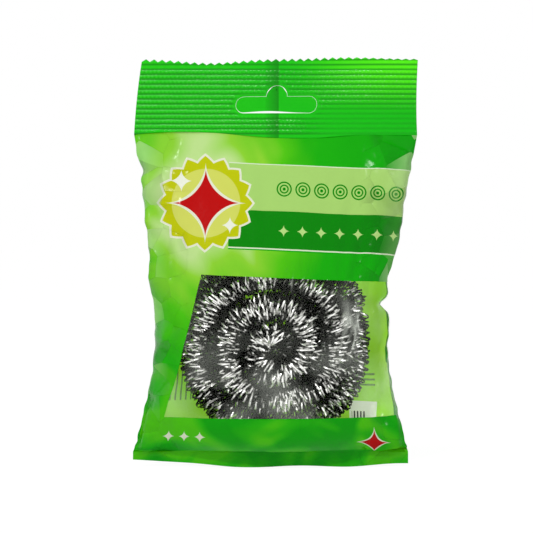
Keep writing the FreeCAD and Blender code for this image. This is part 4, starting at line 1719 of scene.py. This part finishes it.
# %% Hang tab
TAB_GAP = 0.08 * MM
TAB_STEP = 0.4 * MM
BOTTOM_DROOP = 0.8 * MM
DROOP_X = -3.0 * MM
DROOP_REACH = 9.0 * MM
NECK_ROOM = 0.3 * MM
NECK_Z = -1.6 * MM
NECK_REACH = 1.0 * MM


def tab_piece():
    """The punched tab: a sheet that fits the slot with a thin cut round it, wider at the neck and below."""
    half = SLOT_HALF + 2 * TAB_STEP
    x, z = np.meshgrid(
        np.arange(-half, half + TAB_STEP / 2, TAB_STEP),
        np.arange(SLOT_MIDDLE - SLOT_HEIGHT, TAB_STEP, TAB_STEP),
    )
    inside = slot_distance(x, z) < -TAB_GAP
    kept = inside[:-1, :-1] & inside[1:, 1:] & inside[:-1, 1:] & inside[1:, :-1]
    x, z = pulled_to_slot(x, z, touched(kept) & touched(~kept), -TAB_GAP)
    low = np.clip((SLOT_MIDDLE - z) / (SLOT_HEIGHT / 2), 0, 1)
    z = z + low**3 * BOTTOM_DROOP * np.exp(-(((x - DROOP_X) / DROOP_REACH) ** 2))
    x = x - np.sign(x) * NECK_ROOM * np.exp(-(((z - NECK_Z) / NECK_REACH) ** 2))
    grid = np.stack([x + edge_drift(z), header_wave(x, z), z + edge_sag(x, z)], axis=2)
    return film_piece("hang_tab_film", grid, wall_normals(grid, -1), kept, grid[:, :, [0, 2]], [header_print])


tab = tab_piece()
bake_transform(tab)
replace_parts(tab, "hang_tab")

# %% [markdown]
# ## The scrubber: curled ribbon, wound by a rule
# Flat stainless ribbon, shaved off thick wire, comes off the blade in tight curls. A bundle of such curls is
# wound into a spiral, and a second layer lies behind it. The path follows the solid's rule, and wanders a
# little as a soft rope does. A few loose lengths lie over the pad's shoulders.

# %% Rope's path
WANDER = 0.7 * MM
WANDER_SHARE = 0.6
LONG_WANDER = 2.3
SHORT_WANDER = 3.7
CROSSING_TURNS = 0.25
SHOULDER = 4.5
LOOSE_FROM = 172.0
LOOSE_SPAN = 164.0
LOOSE_INSET_X = 5.5 * MM
LOOSE_INSET_Z = 4.0 * MM
PATH_STEPS = 96


def winding_point(turn):
    """The rope's middle after this many turns from the eye: out in front, then back in behind."""
    wander = math.sin(2 * math.pi * LONG_WANDER * turn + 1.0)
    wander = wander + 0.7 * math.sin(2 * math.pi * SHORT_WANDER * turn + 2.0)
    radius = RIM_RADIUS - TURN_PITCH * abs(turn - SPIRAL_TURNS)
    radius = max(0, radius - WANDER * (1 + WANDER_SHARE * wander))
    climb = max(-1.0, min(1.0, (turn - SPIRAL_TURNS) / CROSSING_TURNS))
    inward = max(0, min(1.0, 1 - (radius - EYE_RADIUS) / (RIM_RADIUS - EYE_RADIUS)))
    y = (TURN_PITCH / 2 + DOME * inward) * math.sin(climb * math.pi / 2)
    angle = 2 * math.pi * (turn - SPIRAL_TURNS) - math.pi / 2
    return radius * math.cos(angle), y, PAD_MIDDLE + radius * math.sin(angle)


def loose_point(share):
    """The middle of a loose length of ribbon over the pad's shoulders, from the left to the right."""
    angle = math.radians(LOOSE_FROM - LOOSE_SPAN * share)
    stretch = (abs(math.cos(angle)) ** SHOULDER + abs(math.sin(angle)) ** SHOULDER) ** (-1 / SHOULDER)
    across = (coil_high.x - LOOSE_INSET_X) * stretch * math.cos(angle)
    rise = (coil_high.z - PAD_MIDDLE - LOOSE_INSET_Z) * stretch * math.sin(angle)
    return across, 0.0, PAD_MIDDLE + rise


def rope_path(name, point_at, first, last):
    """A curve along a rule between two of its values."""
    curve = bpy.data.curves.new(name, "CURVE")
    curve.dimensions = "3D"
    spline = curve.splines.new("POLY")
    spline.points.add(PATH_STEPS)
    for index in range(PATH_STEPS + 1):
        spline.points[index].co = (*point_at(first + (last - first) * index / PATH_STEPS), 1.0)
    path = bpy.data.objects.new(name, curve)
    bpy.context.scene.collection.objects.link(path)
    return path


print("eye of the winding at", [round(value / MM, 1) for value in winding_point(0)], "mm")

# %% [markdown]
# Stainless ribbon is bright where it lies open and black deep in the rope, where light hardly gets in. Real
# ribbon is far finer than these strands, so the depth of that shade would be lost. The tree below therefore
# marks each point with its share of the way out of the rope, and the finish paints that shade: darker inside.

# %% Stainless ribbon
GRAIN_AND_GLINT = 2.0 * MM
GLINT_PATCH_SIZE = 11.0 * MM
DEPTH_SHADE_SHARE = 0.55
GLINT_MOTTLE_SHARE = 0.45
STEEL_SHADE_AND_GLINT_TONES = ((0.57, "#060605"), (0.72, "#1C1C1A"), (0.84, "#C2C2BD"), (0.94, "#F6F6F2"))
STEEL_ROUGHNESS = (0.18, 0.42)

# Shaved stainless steel: a mirror with drawn scratches that vary its roughness. Its colour holds painted
# shade, black deep in the rope, and painted glints that make each curl brighter and duller along its length
steel, tree, output = new_material("shaved_stainless_ribbon")
place = add_node(tree, "ShaderNodeTexCoord")
# How far out of the rope each point lies, for the painted shade
outside = add_node(tree, "ShaderNodeAttribute", attribute_name="outside")
grain_and_glint = add_node(
    tree, "ShaderNodeTexNoise", {"Vector": place.outputs["Object"], "Scale": 1 / GRAIN_AND_GLINT, "Detail": 2.0}
)
painted_glint_patches = add_node(
    tree, "ShaderNodeTexNoise", {"Vector": place.outputs["Object"], "Scale": 1 / GLINT_PATCH_SIZE, "Detail": 1.0}
)
# Painted glints: two noises make the ribbon's colour brighter and duller along each curl
painted_glint_mottle = add_node(tree, "ShaderNodeMath", {0: grain_and_glint.outputs["Fac"], 1: painted_glint_patches.outputs["Fac"]}, operation="ADD")
painted_light_share = add_node(
    tree, "ShaderNodeMath", {0: outside.outputs["Fac"], 1: DEPTH_SHADE_SHARE}, operation="MULTIPLY"
)
painted_light_share = add_node(
    tree,
    "ShaderNodeMath",
    {0: painted_glint_mottle.outputs[0], 1: GLINT_MOTTLE_SHARE, 2: painted_light_share.outputs[0]},
    operation="MULTIPLY_ADD",
)
# Painted shade and glints: black deep in the rope, bright steel towards the outside
painted_shade_and_glint = add_node(tree, "ShaderNodeValToRGB", {0: painted_light_share.outputs[0]})
set_ramp(painted_shade_and_glint, STEEL_SHADE_AND_GLINT_TONES)
rough = add_node(
    tree, "ShaderNodeMapRange", {0: grain_and_glint.outputs["Fac"], 3: STEEL_ROUGHNESS[0], 4: STEEL_ROUGHNESS[1]}
)
shader = add_node(
    tree,
    "ShaderNodeBsdfPrincipled",
    {"Base Color": painted_shade_and_glint.outputs["Color"], "Metallic": 1.0, "Roughness": rough.outputs[0]},
)
tree.links.new(shader.outputs[0], output.inputs["Surface"])
print("ribbon's finish:", len(tree.nodes), "nodes")

# %% [markdown]
# Thousands of curls are too many to model one by one, and each has to differ, so Geometry Nodes lay them
# along the path. Each strand is a helix with its own size and start, shaken a little by noise, and a thin
# flat profile makes it ribbon. Flat shading lets each bit of ribbon glint on its own. The ribbon is drawn
# 0.55 mm wide, somewhat coarser than the real one, so that it shows.

# %% Tree of curled strands
GOLDEN_ANGLE = math.pi * (3 - math.sqrt(5))
STRAY_TURN = 5.0

# Lowest and highest value of what each strand has of its own, and rate per curl and start of each noise
STRAND_CHANCES = (
    ("phase", 0.0, 2 * math.pi),
    ("size", 0.75, 1.25),
    ("rate", 0.85, 1.15),
    ("hand", -1.0, 1.0),
    ("shine", 0.8, 1.1),
)
STRAND_SHAKES = (("angle", 0.5, 0.0), ("size", 0.9, 100.0), ("slip", 0.7, 200.0), ("stray", 0.3, 300.0))
SEED_STEP = 17.0
STRAND_APART = 31.7


def curled_rope_tree():
    """Geometry Nodes that lay curled ribbons along a curve."""
    tree = bpy.data.node_groups.new("curled_rope", "GeometryNodeTree")
    tree.interface.new_socket("Path", in_out="INPUT", socket_type="NodeSocketGeometry")
    for name, kind in (
        ("Strands", "NodeSocketInt"),
        ("Curl Pitch", "NodeSocketFloat"),
        ("Curl Radius", "NodeSocketFloat"),
        ("Rope Radius", "NodeSocketFloat"),
        ("Rope Twist", "NodeSocketFloat"),
        ("Flattening", "NodeSocketVector"),
        ("Looseness", "NodeSocketFloat"),
        ("Ribbon Width", "NodeSocketFloat"),
        ("Ribbon Thickness", "NodeSocketFloat"),
        ("Points per Curl", "NodeSocketInt"),
        ("Seed", "NodeSocketInt"),
        ("Material", "NodeSocketMaterial"),
    ):
        tree.interface.new_socket(name, in_out="INPUT", socket_type=kind)
    tree.interface.new_socket("Ribbons", in_out="OUTPUT", socket_type="NodeSocketGeometry")
    given = add_node(tree, "NodeGroupInput").outputs
    length = add_node(tree, "GeometryNodeCurveLength", {0: given["Path"]})
    curls = add_node(
        tree, "ShaderNodeMath", {0: length.outputs[0], 1: given["Curl Pitch"]}, operation="DIVIDE"
    ).outputs[0]
    count = add_node(tree, "ShaderNodeMath", {0: curls, 1: given["Points per Curl"]}, operation="MULTIPLY")
    line = add_node(tree, "GeometryNodeCurvePrimitiveLine")
    line = add_node(tree, "GeometryNodeResampleCurve", {"Curve": line.outputs[0], "Count": count.outputs[0]})
    strands = add_node(
        tree,
        "GeometryNodeDuplicateElements",
        {0: line.outputs[0], "Amount": given["Strands"]},
        domain="SPLINE",
    )
    strand = add_node(
        tree, "GeometryNodeStoreNamedAttribute",
        {"Geometry": strands.outputs[0], "Name": "strand", "Value": strands.outputs["Duplicate Index"]},
        data_type="INT", domain="CURVE",
    )
    which = add_node(tree, "GeometryNodeInputNamedAttribute", {"Name": "strand"}, data_type="INT").outputs[0]
    along = add_node(tree, "GeometryNodeSplineParameter").outputs["Factor"]
    spot = add_node(
        tree, "GeometryNodeSampleCurve", {"Curves": given["Path"], "Factor": along}, mode="FACTOR"
    ).outputs
    side = add_node(
        tree, "ShaderNodeVectorMath", {0: spot["Tangent"], 1: spot["Normal"]}, operation="CROSS_PRODUCT"
    ).outputs[0]

    # Each strand has its own first angle, size, pitch and hand, and a shine that scales its painted shade
    chance = {}
    for number, (name, low, high) in enumerate(STRAND_CHANCES):
        seed = add_node(tree, "ShaderNodeMath", {0: given["Seed"], 1: number * SEED_STEP}, operation="ADD")
        chance[name] = add_node(
            tree, "FunctionNodeRandomValue", {2: low, 3: high, "ID": which, "Seed": seed.outputs[0]},
            data_type="FLOAT",
        ).outputs[1]

    # Noise along each strand shakes its angle and its size
    shift = add_node(tree, "ShaderNodeMath", {0: which, 1: STRAND_APART, 2: along}, operation="MULTIPLY_ADD")
    shake = {}
    for name, per_curl, offset in STRAND_SHAKES:
        scale = add_node(tree, "ShaderNodeMath", {0: curls, 1: per_curl}, operation="MULTIPLY")
        spread = add_node(tree, "ShaderNodeMath", {0: shift.outputs[0], 1: offset}, operation="ADD")
        noise = add_node(
            tree, "ShaderNodeTexNoise", {"W": spread.outputs[0], "Scale": scale.outputs[0], "Detail": 1.0},
            noise_dimensions="1D",
        )
        centred = add_node(tree, "ShaderNodeMath", {0: noise.outputs["Fac"], 1: 0.5}, operation="SUBTRACT")
        shake[name] = add_node(
            tree, "ShaderNodeMath", {0: centred.outputs[0], 1: given["Looseness"]}, operation="MULTIPLY"
        ).outputs[0]

    turns = add_node(tree, "ShaderNodeMath", {0: along, 1: curls}, operation="MULTIPLY")
    turns = add_node(tree, "ShaderNodeMath", {0: turns.outputs[0], 1: chance["rate"]}, operation="MULTIPLY")
    turns = add_node(tree, "ShaderNodeMath", {0: turns.outputs[0], 1: shake["angle"]}, operation="ADD")
    hand = add_node(tree, "ShaderNodeMath", {0: chance["hand"]}, operation="SIGN")
    turns = add_node(tree, "ShaderNodeMath", {0: turns.outputs[0], 1: hand.outputs[0]}, operation="MULTIPLY")
    angle = add_node(
        tree,
        "ShaderNodeMath",
        {0: turns.outputs[0], 1: 2 * math.pi, 2: chance["phase"]},
        operation="MULTIPLY_ADD",
    ).outputs[0]
    swell = add_node(tree, "ShaderNodeMath", {0: 1.0, 1: shake["size"]}, operation="ADD")
    radius = add_node(
        tree, "ShaderNodeMath", {0: given["Curl Radius"], 1: chance["size"]}, operation="MULTIPLY"
    )
    radius = add_node(
        tree, "ShaderNodeMath", {0: radius.outputs[0], 1: swell.outputs[0]}, operation="MULTIPLY"
    )
    spare = add_node(
        tree, "ShaderNodeMath", {0: given["Rope Radius"], 1: radius.outputs[0]}, operation="SUBTRACT"
    )
    spare = add_node(tree, "ShaderNodeMath", {0: spare.outputs[0], 1: 0.0}, operation="MAXIMUM")

    # The strands sit over the rope's section as seeds do in a sunflower, and twist slowly along it
    seat = add_node(tree, "ShaderNodeMath", {0: which, 1: 0.5}, operation="ADD")
    seat = add_node(tree, "ShaderNodeMath", {0: seat.outputs[0], 1: given["Strands"]}, operation="DIVIDE")
    seat = add_node(tree, "ShaderNodeMath", {0: seat.outputs[0]}, operation="SQRT")
    seat = add_node(tree, "ShaderNodeMath", {0: seat.outputs[0], 1: spare.outputs[0]}, operation="MULTIPLY")
    twist = add_node(tree, "ShaderNodeMath", {0: along, 1: length.outputs[0]}, operation="MULTIPLY")
    twist = add_node(
        tree, "ShaderNodeMath", {0: twist.outputs[0], 1: given["Rope Twist"]}, operation="MULTIPLY"
    )
    seat_angle = add_node(
        tree, "ShaderNodeMath", {0: which, 1: GOLDEN_ANGLE, 2: twist.outputs[0]}, operation="MULTIPLY_ADD"
    )
    seat_angle = add_node(
        tree,
        "ShaderNodeMath",
        {0: shake["stray"], 1: STRAY_TURN, 2: seat_angle.outputs[0]},
        operation="MULTIPLY_ADD",
    ).outputs[0]

    # Round the curl, then off to the strand's own seat
    offsets = []
    for turn_angle, size in ((angle, radius.outputs[0]), (seat_angle, seat.outputs[0])):
        cosine = add_node(tree, "ShaderNodeMath", {0: turn_angle}, operation="COSINE")
        sine = add_node(tree, "ShaderNodeMath", {0: turn_angle}, operation="SINE")
        one = add_node(
            tree, "ShaderNodeVectorMath", {0: spot["Normal"], "Scale": cosine.outputs[0]}, operation="SCALE"
        )
        two = add_node(tree, "ShaderNodeVectorMath", {0: side, "Scale": sine.outputs[0]}, operation="SCALE")
        outward = add_node(
            tree, "ShaderNodeVectorMath", {0: one.outputs[0], 1: two.outputs[0]}, operation="ADD"
        )
        offsets.append(outward.outputs[0])
        moved = add_node(
            tree, "ShaderNodeVectorMath", {0: outward.outputs[0], "Scale": size}, operation="SCALE"
        )
        offsets.append(moved.outputs[0])
    slip = add_node(tree, "ShaderNodeMath", {0: shake["slip"], 1: given["Curl Radius"]}, operation="MULTIPLY")
    slide = add_node(
        tree, "ShaderNodeVectorMath", {0: spot["Tangent"], "Scale": slip.outputs[0]}, operation="SCALE"
    )
    # The bag presses the rope flat, so it spreads a little in the pad's plane
    off_path = add_node(tree, "ShaderNodeVectorMath", {0: offsets[1], 1: offsets[3]}, operation="ADD")
    off_path = add_node(
        tree, "ShaderNodeVectorMath", {0: off_path.outputs[0], 1: given["Flattening"]}, operation="MULTIPLY"
    )
    place = add_node(
        tree, "ShaderNodeVectorMath", {0: spot["Position"], 1: off_path.outputs[0]}, operation="ADD"
    )
    place = add_node(
        tree, "ShaderNodeVectorMath", {0: place.outputs[0], 1: slide.outputs[0]}, operation="ADD"
    )

    # Share of the way from the rope's middle to its front or back, for the painted shade of the finish
    off_depth = add_node(tree, "ShaderNodeSeparateXYZ", {0: off_path.outputs[0]})
    outside = add_node(
        tree, "ShaderNodeMath", {0: off_depth.outputs["Y"], 1: given["Rope Radius"]}, operation="DIVIDE"
    )
    outside = add_node(tree, "ShaderNodeMath", {0: outside.outputs[0]}, operation="ABSOLUTE")
    outside = add_node(
        tree, "ShaderNodeMath", {0: outside.outputs[0], 1: chance["shine"]}, operation="MULTIPLY"
    )
    marked = add_node(
        tree, "GeometryNodeStoreNamedAttribute",
        {"Geometry": strand.outputs[0], "Name": "outside", "Value": outside.outputs[0]},
        data_type="FLOAT", domain="POINT",
    )
    curled = add_node(
        tree, "GeometryNodeSetPosition", {"Geometry": marked.outputs[0], "Position": place.outputs[0]}
    )
    faced = add_node(
        tree, "GeometryNodeSetCurveNormal", {"Curve": curled.outputs[0], "Normal": offsets[0]}, mode="FREE"
    )
    profile = add_node(
        tree, "GeometryNodeCurvePrimitiveQuadrilateral",
        {"Width": given["Ribbon Thickness"], "Height": given["Ribbon Width"]},
    )
    ribbon = add_node(
        tree, "GeometryNodeCurveToMesh",
        {"Curve": faced.outputs[0], "Profile Curve": profile.outputs[0], "Fill Caps": True},
    )
    flat_faces = add_node(tree, "GeometryNodeSetShadeSmooth", {0: ribbon.outputs[0], "Shade Smooth": False})
    plain = add_node(tree, "GeometryNodeRealizeInstances", {0: flat_faces.outputs[0]})
    dressed = add_node(
        tree, "GeometryNodeSetMaterial", {"Geometry": plain.outputs[0], "Material": given["Material"]}
    )
    add_node(tree, "NodeGroupOutput", {0: dressed.outputs[0]})
    return tree


rope_tree = curled_rope_tree()
print("curled rope tree:", len(rope_tree.nodes), "nodes")

# %% Ribbon pieces
rope_values = {
    "Strands": 36,
    "Curl Pitch": 2.2 * MM,
    "Curl Radius": 1.5 * MM,
    "Rope Radius": 5.9 * MM,
    "Rope Twist": 90.0,
    "Flattening": (1.12, 0.97, 1.12),
    "Looseness": 0.95,
    "Ribbon Width": 0.55 * MM,
    "Ribbon Thickness": 0.1 * MM,
    "Points per Curl": 8,
    "Material": steel,
}
ROPE_PARTS = (
    ("ribbon_front_heart", winding_point, -0.3, 1.35),
    ("ribbon_front_rim", winding_point, 1.35, 2.25),
    ("ribbon_back_rim", winding_point, 2.25, 3.15),
    ("ribbon_back_heart", winding_point, 3.15, 5.12),
    ("ribbon_shoulders", loose_point, 0.0, 1.0),
)
loose_values = {"Strands": 10, "Rope Radius": 4.6 * MM, "Looseness": 1.2}
for seed, (name, point_at, first, last) in enumerate(ROPE_PARTS):
    path = rope_path(name + "_path", point_at, first, last)
    values = {**rope_values, "Seed": seed, **(loose_values if point_at == loose_point else {})}
    piece = grown(path, rope_tree, values, name)
    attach(piece, "scrubber")
    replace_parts(piece, "scrubber_coil")
